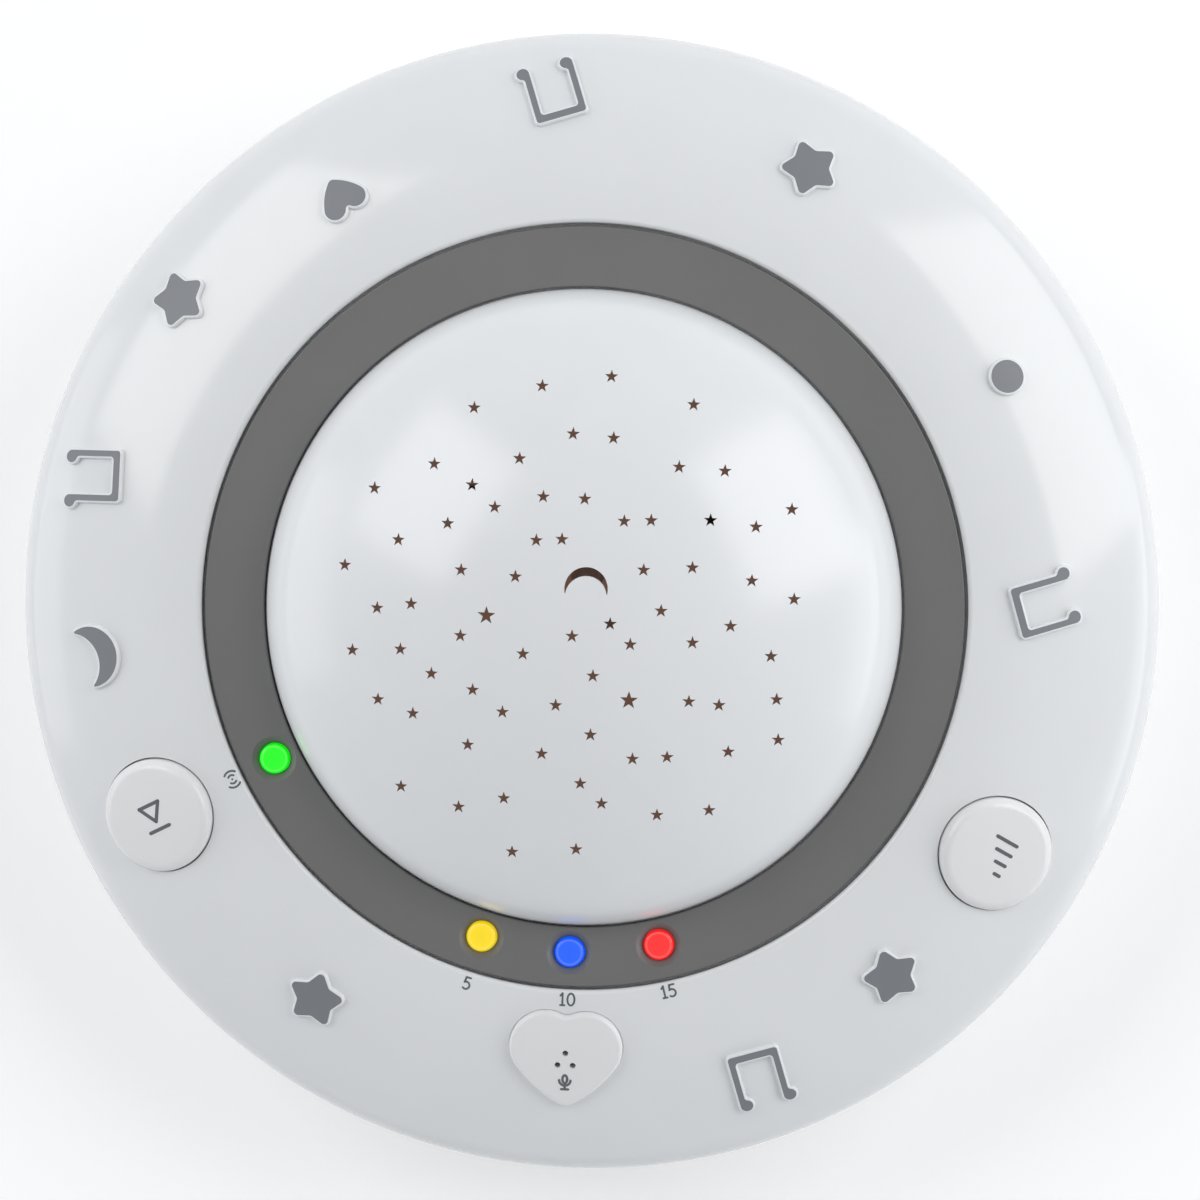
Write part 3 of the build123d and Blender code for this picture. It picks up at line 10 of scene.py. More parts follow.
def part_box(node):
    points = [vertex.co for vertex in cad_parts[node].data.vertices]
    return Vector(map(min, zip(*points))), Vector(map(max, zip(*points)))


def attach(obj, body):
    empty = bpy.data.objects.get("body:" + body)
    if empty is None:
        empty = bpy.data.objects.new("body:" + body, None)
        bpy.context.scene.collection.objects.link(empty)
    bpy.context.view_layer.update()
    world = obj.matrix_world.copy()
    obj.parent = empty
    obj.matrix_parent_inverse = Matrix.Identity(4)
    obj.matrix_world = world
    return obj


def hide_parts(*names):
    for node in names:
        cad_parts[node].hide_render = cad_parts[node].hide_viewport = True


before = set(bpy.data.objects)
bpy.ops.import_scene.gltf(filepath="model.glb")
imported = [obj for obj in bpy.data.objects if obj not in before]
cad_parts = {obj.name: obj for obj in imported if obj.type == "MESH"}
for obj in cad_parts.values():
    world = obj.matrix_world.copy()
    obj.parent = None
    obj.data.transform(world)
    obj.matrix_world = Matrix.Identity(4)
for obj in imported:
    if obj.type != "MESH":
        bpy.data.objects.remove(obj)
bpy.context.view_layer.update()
mm = 0.001

# ---------------------------------------------------------------- camera
# The light is seen from almost straight above, from a metre away, a little to the right and
# behind, and the picture is turned by two degrees against the light's own axes.
view_tilt = math.radians(4.808)
view_turn = math.radians(39.84)
view_roll = math.radians(2.3)
view_aim = Vector((2.166 * mm, 0.908 * mm, 30 * mm))
view_distance = 1.0
focal_length = 180.86
sensor_width = 36.0


def direction(tilt, turn):
    """Unit vector at a tilt from straight up and a turn about the axis."""
    return Vector((math.sin(tilt) * math.cos(turn), math.sin(tilt) * math.sin(turn), math.cos(tilt)))


def aimed(right, back, place):
    """Matrix of a thing at a place that looks the opposite way from its back, with its right side given."""
    return Matrix.Translation(place) @ Matrix((right, back.cross(right), back)).transposed().to_4x4()


def build_camera():
    """Camera on a sphere round the aim point, looking back at it, rolled about its own axis."""
    back = direction(view_tilt, view_turn)
    right = Vector((-math.sin(view_roll), math.cos(view_roll), 0.0)).cross(back).normalized()
    camera = bpy.data.objects.new("camera", bpy.data.cameras.new("camera"))
    camera.data.sensor_width = sensor_width
    camera.data.lens = focal_length
    camera.data.clip_start = 10 * mm
    camera.data.clip_end = 20.0
    camera.matrix_world = aimed(right, back, view_aim + back * view_distance)
    bpy.context.collection.objects.link(camera)
    bpy.context.scene.camera = camera


build_camera()

# ---------------------------------------------------------------- studio
# A white table in a pale tent, brighter towards the horizon than overhead, with two soft boxes
# behind the light and a low panel on each side. Each has its direction, tilt, width, height and
# radiance.
bpy.context.scene.view_settings.view_transform = "Standard"
soft_boxes = {
    "soft_box_left": (149.0, 45.0, 0.70, 0.62, 3.0),
    "soft_box_right": (28.0, 49.0, 0.80, 0.64, 3.2),
    "side_panel_left": (178.0, 74.0, 0.90, 0.50, 1.5),
    "side_panel_right": (-4.0, 74.0, 0.90, 0.50, 2.2),
}
soft_box_distance = 1.25
overhead_level = 0.28
horizon_level = 2.0
horizon_spread = 3.0
tent_colour = (0.95, 0.975, 1.0)
floor_size = 3.0
floor_colour = (0.80, 0.80, 0.80)
floor_lift = 0.30


def link_nodes(tree, *pairs):
    """Joins sockets, given as source node, output, target node and input."""
    for source, output, target, socket in pairs:
        tree.links.new(source.outputs[output], target.inputs[socket])


def arithmetic(tree, operation, *values):
    """Math node: values go to its inputs in order, and None leaves an input to be linked."""
    node = tree.nodes.new("ShaderNodeMath")
    node.operation = operation
    for socket, value in zip(node.inputs, values):
        if value is not None:
            socket.default_value = value
    return node


def seen_or_mirrored(tree):
    """Factor that is one for the camera's own rays and for glossy and transmission rays, else nought."""
    path = tree.nodes.new("ShaderNodeLightPath")
    seen = arithmetic(tree, "MAXIMUM")
    shown = arithmetic(tree, "MAXIMUM")
    link_nodes(tree, (path, "Is Camera Ray", seen, 0), (path, "Is Glossy Ray", seen, 1),
               (seen, "Value", shown, 0), (path, "Is Transmission Ray", shown, 1))
    return shown


def build_soft_box(name, turn, tilt, width, height, radiance):
    """Area lamp facing the object from a direction, with its power worked out from its radiance."""
    turn, tilt = math.radians(turn), math.radians(tilt)
    away = direction(tilt, turn)
    right = Vector((-math.sin(turn), math.cos(turn), 0.0))
    lamp = bpy.data.lights.new(name, "AREA")
    lamp.shape = "RECTANGLE"
    lamp.size, lamp.size_y = width, height
    lamp.energy = math.pi * width * height * radiance
    box = bpy.data.objects.new(name, lamp)
    box.matrix_world = aimed(right, away, away * soft_box_distance)
    bpy.context.collection.objects.link(box)


def build_tent():
    """World whose level falls from the horizon to overhead, as a power of one less the height."""
    world = bpy.data.worlds.new("tent")
    bpy.context.scene.world = world
    world.use_nodes = True
    tree = world.node_tree
    tree.nodes.clear()
    place = tree.nodes.new("ShaderNodeTexCoord")
    split = tree.nodes.new("ShaderNodeSeparateXYZ")
    low = arithmetic(tree, "SUBTRACT", 1.0)
    low.use_clamp = True
    fall = arithmetic(tree, "POWER", None, horizon_spread)
    level = tree.nodes.new("ShaderNodeMapRange")
    level.inputs["To Min"].default_value = overhead_level
    level.inputs["To Max"].default_value = horizon_level
    tent = tree.nodes.new("ShaderNodeBackground")
    tent.inputs["Color"].default_value = (*tent_colour, 1.0)
    white = tree.nodes.new("ShaderNodeBackground")
    shown = seen_or_mirrored(tree)
    mix = tree.nodes.new("ShaderNodeMixShader")
    output = tree.nodes.new("ShaderNodeOutputWorld")
    white.inputs["Color"].default_value = (1.0, 1.0, 1.0, 1.0)
    link_nodes(tree, (place, "Generated", split, "Vector"), (split, "Z", low, 1), (low, "Value", fall, 0),
               (fall, "Value", level, "Value"), (level, "Result", tent, "Strength"),
               (shown, "Value", mix, "Fac"), (tent, "Background", mix, 1),
               (white, "Background", mix, 2), (mix, "Shader", output, "Surface"))


def build_floor():
    """Table top under the feet, which shows nearly white to the camera and keeps the shadow."""
    mesh = bpy.data.meshes.new("studio_floor")
    half = floor_size / 2
    corners = [(-half, -half, 0.0), (half, -half, 0.0), (half, half, 0.0), (-half, half, 0.0)]
    mesh.from_pydata(corners, [], [(0, 1, 2, 3)])
    floor = bpy.data.objects.new("studio_floor", mesh)
    bpy.context.collection.objects.link(floor)
    material = bpy.data.materials.new("floor_paper")
    material.use_nodes = True
    tree = material.node_tree
    tree.nodes.clear()
    paper = tree.nodes.new("ShaderNodeBsdfDiffuse")
    paper.inputs["Color"].default_value = (*floor_colour, 1.0)
    glow = tree.nodes.new("ShaderNodeEmission")
    shown = seen_or_mirrored(tree)
    lift = arithmetic(tree, "MULTIPLY", None, floor_lift)
    add = tree.nodes.new("ShaderNodeAddShader")
    output = tree.nodes.new("ShaderNodeOutputMaterial")
    link_nodes(tree, (shown, "Value", lift, 0), (lift, "Value", glow, "Strength"),
               (paper, "BSDF", add, 0), (glow, "Emission", add, 1), (add, "Shader", output, "Surface"))
    mesh.materials.append(material)


for box_name, box_values in soft_boxes.items():
    build_soft_box(box_name, *box_values)
build_tent()
build_floor()


# ---------------------------------------------------------------- base shell and battery door
# White ABS from a polished mould: glossy, with a very slight waviness. The base shell and the
# door keep their CAD shapes; the door's screw and the six housing screws are plated steel.
plastic_ior = 1.5
mottle_scale = 90.0
gloss_spread = 0.2
metal_grain_depth = 0.001 * mm


def plastic(name, colour, roughness, grain_size, grain_depth, mottle=0.02):
    """Moulded plastic: slow noise shifts the colour and the gloss a little, fine noise is the grain."""
    material = bpy.data.materials.new(name)
    material.use_nodes = True
    tree = material.node_tree
    shader = tree.nodes["Principled BSDF"]
    shader.inputs["IOR"].default_value = plastic_ior
    place = tree.nodes.new("ShaderNodeTexCoord")
    slow = tree.nodes.new("ShaderNodeTexNoise")
    slow.inputs["Scale"].default_value = mottle_scale
    slow.inputs["Detail"].default_value = 3.0
    tint = tree.nodes.new("ShaderNodeMix")
    tint.data_type = "RGBA"
    tint.inputs["A"].default_value = (*[c * (1.0 - mottle) for c in colour], 1.0)
    tint.inputs["B"].default_value = (*[min(c * (1.0 + mottle), 1.0) for c in colour], 1.0)
    gloss = tree.nodes.new("ShaderNodeMapRange")
    gloss.inputs["To Min"].default_value = roughness * (1.0 - gloss_spread)
    gloss.inputs["To Max"].default_value = roughness * (1.0 + gloss_spread)
    grain = tree.nodes.new("ShaderNodeTexNoise")
    grain.inputs["Scale"].default_value = 1.0 / grain_size
    grain.inputs["Detail"].default_value = 2.0
    bump = tree.nodes.new("ShaderNodeBump")
    bump.inputs["Distance"].default_value = grain_depth
    link_nodes(tree, (place, "Object", slow, "Vector"), (place, "Object", grain, "Vector"),
               (slow, "Fac", tint, "Factor"), (slow, "Fac", gloss, "Value"),
               (tint, "Result", shader, "Base Color"), (gloss, "Result", shader, "Roughness"),
               (grain, "Fac", bump, "Height"), (bump, "Normal", shader, "Normal"))
    return material


def metal(name, colour, roughness, grain_size):
    """Bare or plated metal: the same two noises as on plastic, with a stronger shift of the colour."""
    material = plastic(name, colour, roughness, grain_size, metal_grain_depth, 0.06)
    material.node_tree.nodes["Principled BSDF"].inputs["Metallic"].default_value = 1.0
    return material


def paint(material, *nodes):
    """Gives CAD nodes a material in place of the plain one that they came with."""
    for node in nodes:
        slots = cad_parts[node].data.materials
        slots.clear()
        slots.append(material)


white_plastic = plastic("white_shell_plastic", (0.735, 0.745, 0.755), 0.13, 0.6 * mm, 0.001 * mm)
plated_steel = metal("plated_screw_steel", (0.62, 0.62, 0.60), 0.28, 0.3 * mm)
paint(white_plastic, "lower_housing", "battery_door")
paint(plated_steel, "door_screw", "housing_screws", "switch_board_screws", "board_screws", "ring_screws",
      "speaker_screws", "power_switch_screws")
paint(plastic("foot_rubber", (0.30, 0.30, 0.31), 0.65, 0.25 * mm, 0.02 * mm, 0.06), "rubber_feet")


# ---------------------------------------------------------------- battery bay
# Three steel cells in a dark blue film that leaves both ends bare, held between nickel-plated
# contacts and springs.
jacket_half_length = 23.4 * mm


def cell_jacket(name, jacket, cap):
    """Film jacket over the middle of a cell and bare steel at both ends, split at a distance along X."""
    material = metal(name, cap, 0.3, 0.3 * mm)
    tree = material.node_tree
    shader = tree.nodes["Principled BSDF"]
    place = tree.nodes["Texture Coordinate"]
    split = tree.nodes.new("ShaderNodeSeparateXYZ")
    reach = arithmetic(tree, "ABSOLUTE")
    inside = arithmetic(tree, "LESS_THAN", None, jacket_half_length)
    bare = arithmetic(tree, "SUBTRACT", 1.0)
    tint = tree.nodes.new("ShaderNodeMix")
    tint.data_type = "RGBA"
    tint.inputs["B"].default_value = (*jacket, 1.0)
    link_nodes(tree, (place, "Object", split, "Vector"), (split, "X", reach, 0), (reach, "Value", inside, 0),
               (inside, "Value", bare, 1), (bare, "Value", shader, "Metallic"),
               (inside, "Value", tint, "Factor"), (tree.nodes["Mix"], "Result", tint, "A"),
               (tint, "Result", shader, "Base Color"))
    return material


nickel = metal("nickel_plate", (0.66, 0.64, 0.58), 0.22, 0.25 * mm)
paint(cell_jacket("cell_film_and_steel", (0.045, 0.075, 0.13), (0.62, 0.62, 0.61)), "battery_1", "battery_2",
      "battery_3")
paint(nickel, "battery_contacts", "battery_springs")

# ---------------------------------------------------------------- speaker, microphone and leads
# Stamped basket, ferrite magnet and black paper cone on a foam gasket; an aluminium microphone
# capsule in a rubber boot; PVC-covered leads.
paint(plastic("gasket_foam", (0.03, 0.03, 0.032), 0.9, 0.5 * mm, 0.15 * mm, 0.2), "speaker_gasket")
paint(metal("basket_steel", (0.55, 0.55, 0.54), 0.35, 0.4 * mm), "speaker_frame")
paint(plastic("cone_paper", (0.035, 0.034, 0.033), 0.8, 0.2 * mm, 0.04 * mm, 0.25), "speaker_cone")
paint(plastic("magnet_ferrite", (0.07, 0.07, 0.075), 0.55, 0.3 * mm, 0.02 * mm, 0.15), "speaker_magnet")
paint(metal("capsule_aluminium", (0.75, 0.75, 0.76), 0.3, 0.2 * mm), "mic_capsule")
paint(plastic("boot_rubber", (0.025, 0.025, 0.027), 0.6, 0.2 * mm, 0.02 * mm, 0.1), "mic_boot")
paint(plastic("red_lead_sleeve", (0.45, 0.02, 0.02), 0.4, 0.4 * mm, 0.005 * mm, 0.05), "battery_leads",
      "power_lead")
paint(plastic("black_lead_sleeve", (0.03, 0.03, 0.032), 0.4, 0.4 * mm, 0.005 * mm, 0.1), "speaker_lead",
      "mic_lead")
paint(plastic("white_lead_sleeve", (0.62, 0.62, 0.60), 0.4, 0.4 * mm, 0.005 * mm, 0.04), "mod_lead",
      "vol_lead")


# ---------------------------------------------------------------- boards, switches and parts
# Brown phenolic boards, a black chip, sleeved capacitors and ivory sockets. The main board is given a faint
# brown glow of its own. This is painted light, standing in for the lamp light inside the dome that lights the
# board behind the star holes.
def glowing(material, colour, strength):
    """Adds light of its own to a material."""
    shader = material.node_tree.nodes["Principled BSDF"]
    shader.inputs["Emission Color"].default_value = (*colour, 1.0)
    shader.inputs["Emission Strength"].default_value = strength
    return material


board_brown_painted_glow = plastic("board_phenolic", (0.24, 0.13, 0.065), 0.5, 0.8 * mm, 0.01 * mm, 0.25)
# Painted light: the main board glows faintly brown though it is no lamp.
paint(glowing(board_brown_painted_glow, (0.34, 0.20, 0.15), 0.30), "main_board")
paint(plastic("small_board_phenolic", (0.24, 0.13, 0.065), 0.5, 0.8 * mm, 0.01 * mm, 0.25),
      "mod_switch_board", "vol_switch_board")
paint(plastic("chip_resin", (0.02, 0.02, 0.022), 0.5, 0.15 * mm, 0.01 * mm, 0.2), "controller_chip")
paint(plastic("capacitor_film", (0.03, 0.05, 0.16), 0.3, 0.5 * mm, 0.004 * mm, 0.1), "capacitors")
paint(plastic("socket_nylon", (0.72, 0.68, 0.56), 0.4, 0.4 * mm, 0.006 * mm, 0.04), "lead_sockets")
switch_black = plastic("switch_nylon", (0.022, 0.022, 0.024), 0.45, 0.3 * mm, 0.008 * mm, 0.2)
paint(switch_black, "mod_switch_body", "vol_switch_body", "mod_switch_plunger", "vol_switch_plunger",
      "power_slider")
paint(metal("switch_can_steel", (0.58, 0.58, 0.57), 0.3, 0.3 * mm), "power_switch_body")


# ---------------------------------------------------------------- upper shell
# One white ABS moulding: a sloping crown that rolls over at the rim, with a round well and ledge
# for the trim ring, two button holes and a shallow heart-shaped pocket with three sound holes.
opening_radius = 63.2 * mm
body_radius = 94.7 * mm
shell_top = 39.03 * mm
shell_wall = 2.2 * mm
crown_radius = 62.0 * mm
crown_middle = 59.8 * mm
crown_middle_z = shell_top - crown_radius
rim_radius = 6.0 * mm
rim_middle = body_radius - rim_radius
rim_sine = (rim_middle - crown_middle) / (crown_radius - rim_radius)
rim_middle_z = crown_middle_z + (crown_radius - rim_radius) * math.sqrt(1.0 - rim_sine ** 2)
seam_z = rim_middle_z - 1.0 * mm
seam_bevel = 0.4 * mm
well_edge_radius = 0.8 * mm
ledge_z = 35.64 * mm
ledge_under_z = 33.64 * mm
ledge_inner = 50.45 * mm
ring_turns = 360
button_circle = 79.0 * mm
button_angles = {"mod": -151.5, "vol": -28.5}
button_hole_radius = 9.7 * mm
heart_circle = 74.6 * mm
front_angle = -90.0
pocket_depth = 1.0 * mm
pocket_gap = 0.03 * mm
heart_plate_grow = 0.1 * mm
hole_edge = 0.15 * mm
sound_holes = ((0.0, -1.1), (-1.25, 1.0), (1.25, 1.0))
sound_hole_radius = 0.5 * mm
heart_half_width = 9.3 * mm
heart_top = 7.9 * mm
heart_tip = 8.5 * mm
heart_lobe = 6.0 * mm
heart_side = 24.0 * mm
heart_tip_round = 2.2 * mm
heart_cleft_round = 2.0 * mm
belt_step = 5.0
weld_size = 1e-6
net_epsilon = 1e-6
slide_rounds = 6
roll_rows = 6
ring_share = 60
button_hole_sides = 120
sound_hole_sides = 24
no_dots = np.zeros((0, 2))


def round_trip(count):
    """Evenly spaced directions once round, as cosines and sines."""
    angle = np.arange(count) * (2.0 * math.pi / count)
    return np.stack([np.cos(angle), np.sin(angle)], axis=1)


def arc_row(middle, radius, start, end, count):
    """Points and outward normals of an arc in a half section, from start to end in degrees."""
    angle = np.radians(np.linspace(start, end, count))
    out = np.stack([np.cos(angle), np.sin(angle)], axis=1)
    return np.array(middle) + radius * out, out


def line_row(*points):
    """Straight runs of a half section; the normal lies to the right of each run, so ends come twice."""
    points = np.array(points)
    run = np.diff(points, axis=0)
    side = np.stack([run[:, 1], -run[:, 0]], axis=1) / np.linalg.norm(run, axis=1)[:, None]
    return np.stack([points[:-1], points[1:]], axis=1).reshape(-1, 2), np.repeat(side, 2, axis=0)


def grid_faces(rows, columns):
    """Four-cornered faces of a grid whose columns close on themselves."""
    first = np.arange(rows - 1)[:, None] * columns
    here = np.arange(columns)[None, :]
    there = (here + 1) % columns
    corners = (first + here, first + there, first + there + columns, first + here + columns)
    return np.stack(corners, axis=-1).reshape(-1, 4)


def strip(rows, normals):
    """Patch between rows of points that each close on themselves."""
    return np.concatenate(rows), np.concatenate(normals), grid_faces(len(rows), len(rows[0])), 0


def turned(*sections, count=ring_turns):
    """Patches of revolution: each half section of radius and height is carried round the axis."""
    patches = []
    out = round_trip(count)
    for points, normals in sections:
        rows = [np.column_stack([r * out, np.full(count, z)]) for r, z in points]
        sides = [np.column_stack([a * out, np.full(count, b)]) for a, b in normals]
        patches.append(strip(rows, sides))
    return patches


def within(points, ring):
    """Which points lie inside a closed ring, by counting the edges to the right of each."""
    ahead = np.roll(ring, -1, axis=0)
    x, y = points[:, :1], points[:, 1:]
    crossed = (ring[:, 1] > y) != (ahead[:, 1] > y)
    rise = np.where(ahead[:, 1] == ring[:, 1], 1.0, ahead[:, 1] - ring[:, 1])
    edge_x = ring[:, 0] + (y - ring[:, 1]) / rise * (ahead[:, 0] - ring[:, 0])
    return (crossed & (x < edge_x)).sum(axis=1) % 2 == 1


def cut_plan(rings, fill, gap):
    """Flat triangles between an outer ring and the holes in it: a constrained Delaunay net."""
    inside = np.zeros(len(fill), bool)
    clear = np.ones(len(fill), bool)
    for ring in rings:
        inside ^= within(fill, ring)
        for part in np.array_split(ring, max(1, len(ring) // ring_share)):
            clear &= np.linalg.norm(fill[:, None] - part[None], axis=2).min(axis=1) > gap
    plan = np.concatenate([*rings, fill[inside & clear]])
    edges, start = [], 0
    for ring in rings:
        index = start + np.arange(len(ring))
        edges += np.stack([index, np.roll(index, -1)], axis=1).tolist()
        start += len(ring)
    spots = [Vector(spot) for spot in (plan / mm).tolist()]
    net = np.array(delaunay_2d_cdt(spots, edges, [], 0, net_epsilon, False)[2])
    middle = plan[net].mean(axis=1)
    kept = np.zeros(len(middle), bool)
    for ring in rings:
        kept ^= within(middle, ring)
    return plan, net[kept]


def dots(inner, outer, step):
    """Loose points on circles between two radii, about a step apart."""
    circles = []
    for radius in np.arange(inner, outer, step):
        circles.append(radius * round_trip(max(6, int(2.0 * math.pi * radius / step))))
    return np.concatenate(circles)


def belt(pegs, grow=0.0, turn=0.0):
    """Outline of a belt laid round pegs, counter-clockwise: pegs with a radius below nought lie
    outside it. Each run's normal makes the same distance to both its pegs; arcs join the runs."""
    place, radius = np.array(pegs)[:, :2], np.array(pegs)[:, 2]
    gap = np.roll(place, -1, axis=0) - place
    span = np.hypot(gap[:, 0], gap[:, 1])
    lean = np.arccos(np.clip((radius - np.roll(radius, -1)) / span, -1.0, 1.0))
    leave = np.arctan2(gap[:, 1], gap[:, 0]) - lean
    arrive = np.roll(leave, 1)
    base, normals = [], []
    for spot, size, start, end in zip(place, radius, arrive, leave):
        sweep = (end - start) % (2.0 * math.pi) - (2.0 * math.pi if size < 0.0 else 0.0)
        angle = start + sweep * np.linspace(0.0, 1.0, 2 + round(abs(math.degrees(sweep)) / belt_step))
        side = np.stack([np.cos(angle), np.sin(angle)], axis=1)
        base.append(spot + size * side)
        normals.append(side)
    base, normals = np.concatenate(base), np.concatenate(normals)
    apart = np.linalg.norm(np.roll(base, -1, axis=0) - base, axis=1) > weld_size * 5
    points = (base + grow * normals)[apart]
    cos, sin = math.cos(math.radians(turn)), math.sin(math.radians(turn))
    spin = np.array([[cos, sin], [-sin, cos]])
    return points @ spin, normals[apart] @ spin


def heart_pegs(half_width, top, tip, lobe, side, tip_round, cleft_round):
    """Pegs of a heart: tip, long sides, round lobes and soft cleft, tangent to each other."""
    lobe_x, lobe_y = half_width - lobe, lobe - top
    tip_y = tip - tip_round
    gap = math.hypot(lobe_x, tip_y - lobe_y)
    reach = (gap ** 2 + (side - lobe) ** 2 - (side - tip_round) ** 2) / (2.0 * gap)
    rise = math.sqrt((side - lobe) ** 2 - reach ** 2)
    side_x = lobe_x - (reach * lobe_x + rise * (tip_y - lobe_y)) / gap
    side_y = lobe_y + (reach * (tip_y - lobe_y) - rise * lobe_x) / gap
    cleft_y = lobe_y - math.sqrt((lobe + cleft_round) ** 2 - lobe_x ** 2)
    return ((0.0, tip_y, tip_round), (-side_x, side_y, side), (-lobe_x, lobe_y, lobe),
            (0.0, cleft_y, -cleft_round), (lobe_x, lobe_y, lobe), (side_x, side_y, side))


def crown_place(radius, angle):
    """Spot on the crown, with its axes: clockwise round the middle, outwards down the slope, and up."""
    tilt = math.asin((radius - crown_middle) / crown_radius)
    out = np.array([math.cos(math.radians(angle)), math.sin(math.radians(angle)), 0.0])
    up = math.sin(tilt) * out + np.array([0.0, 0.0, math.cos(tilt)])
    along = np.array([out[1], -out[0], 0.0])
    centre = radius * out + np.array([0.0, 0.0, crown_middle_z + crown_radius * math.cos(tilt)])
    return centre, np.stack([along, np.cross(up, along), up])


def crown_normal(points):
    """Direction away from the circle that runs through the middles of the crown's section."""
    reach = np.hypot(points[:, 0], points[:, 1])
    out = (reach - crown_middle) / reach
    away = np.column_stack([points[:, 0] * out, points[:, 1] * out, points[:, 2] - crown_middle_z])
    return away / np.linalg.norm(away, axis=1)[:, None]


def on_crown(place, flat, proud=0.0):
    """Points over a flat outline, slid along the place's normal to a height above the crown."""
    centre, axes = place
    base = centre + flat @ axes[:2]
    slide = np.zeros(len(flat))
    for _ in range(slide_rounds):
        spot = base + slide[:, None] * axes[2]
        reach = np.hypot(spot[:, 0], spot[:, 1]) - crown_middle
        slide += crown_radius + proud - np.hypot(reach, spot[:, 2] - crown_middle_z)
    return base + slide[:, None] * axes[2]


def crown_sheet(plan):
    """Points and normals of the crown over a flat plan."""
    reach = np.hypot(plan[:, 0], plan[:, 1])
    height = crown_middle_z + np.sqrt(crown_radius ** 2 - (reach - crown_middle) ** 2)
    points = np.column_stack([plan, height])
    return points, crown_normal(points)


def rolled(place, outline, edge, proud, sense):
    """Rows of a quarter-round edge along an outline: sense 1 climbs from a wall on to a raised
    top, and -1 goes from the crown down into a hole."""
    rows, sides = [], []
    for turn in np.radians(np.linspace(0.0, 90.0, roll_rows)[::-sense]):
        flat, side = outline(-sense * edge * (1.0 - math.sin(turn)))
        spot = on_crown(place, flat, proud - edge * (1.0 - math.cos(turn)))
        rows.append(spot)
        sides.append(math.cos(turn) * crown_normal(spot) + math.sin(turn) * sense * side @ place[1][:2])
    return rows, sides


def raised_side(place, outline, edge, proud, root):
    """Upright wall from a depth under the crown, and the quarter-round edge on top of it."""
    flat, side = outline(0.0)
    wall = side @ place[1][:2]
    rows, sides = rolled(place, outline, edge, proud, 1)
    return [strip([on_crown(place, flat, -root), rows[0]], [wall, wall]), strip(rows, sides)]


def crown_cover(place, rings, fill, gap, level, facing=1, slot=0):
    """Patch between flat rings, at a height above the crown, that faces up (1) or down (-1)."""
    plan, net = cut_plan(rings, fill, gap)
    points = on_crown(place, plan, level)
    return points, facing * crown_normal(points), net[:, ::facing], slot


def join(name, patches, *materials, body="root"):
    """Makes one mesh of patches: points that fall together are welded, faces that a weld flattens
    are dropped, and each face corner keeps its own patch's normal."""
    points = np.concatenate([patch[0] for patch in patches])
    normals = np.concatenate([patch[1] for patch in patches])
    keys = np.round(points / weld_size).astype(np.int64)
    _, first, weld = np.unique(keys, axis=0, return_index=True, return_inverse=True)
    weld = weld.reshape(-1)
    corners, sizes, slots, start = [], [], [], 0
    for spots, _, faces, slot in patches:
        faces = faces + start
        kept = weld[faces] != np.roll(weld[faces], -1, axis=1)
        whole = kept.sum(axis=1) > 2
        corners.append(faces[whole][kept[whole]])
        sizes.append(kept[whole].sum(axis=1))
        slots.append(np.full(whole.sum(), slot))
        start += len(spots)
    corners, sizes, slots = np.concatenate(corners), np.concatenate(sizes), np.concatenate(slots)
    mesh = bpy.data.meshes.new(name)
    mesh.vertices.add(len(first))
    mesh.vertices.foreach_set("co", points[first].ravel())
    mesh.loops.add(len(corners))
    mesh.loops.foreach_set("vertex_index", weld[corners].astype(np.int32))
    mesh.polygons.add(len(sizes))
    mesh.polygons.foreach_set("loop_start", (np.cumsum(sizes) - sizes).astype(np.int32))
    mesh.polygons.foreach_set("material_index", slots.astype(np.int32))
    mesh.update(calc_edges=True)
    mesh.normals_split_custom_set(normals[corners])
    for material in materials:
        mesh.materials.append(material)
    piece = bpy.data.objects.new(name, mesh)
    bpy.context.collection.objects.link(piece)
    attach(piece, body)
    return piece


def heart_plate_outline(grow=0.0):
    """Outline of the heart plate, which fills its pocket but for a hair."""
    pegs = heart_pegs(heart_half_width, heart_top, heart_tip, heart_lobe, heart_side, heart_tip_round,
                      heart_cleft_round)
    return belt(pegs, heart_plate_grow + grow)


def pocket_outline(grow=0.0):
    """Outline of the pocket round the heart plate."""
    return heart_plate_outline(pocket_gap + grow)


def button_hole_outline(grow=0.0):
    """Circle of a button hole."""
    side = round_trip(button_hole_sides)
    return (button_hole_radius + grow) * side, side


def sound_hole_rings():
    """Outlines of the three sound holes in the heart's flat frame."""
    ring = sound_hole_radius * round_trip(sound_hole_sides)
    return [np.array(spot) * mm + ring for spot in sound_holes]


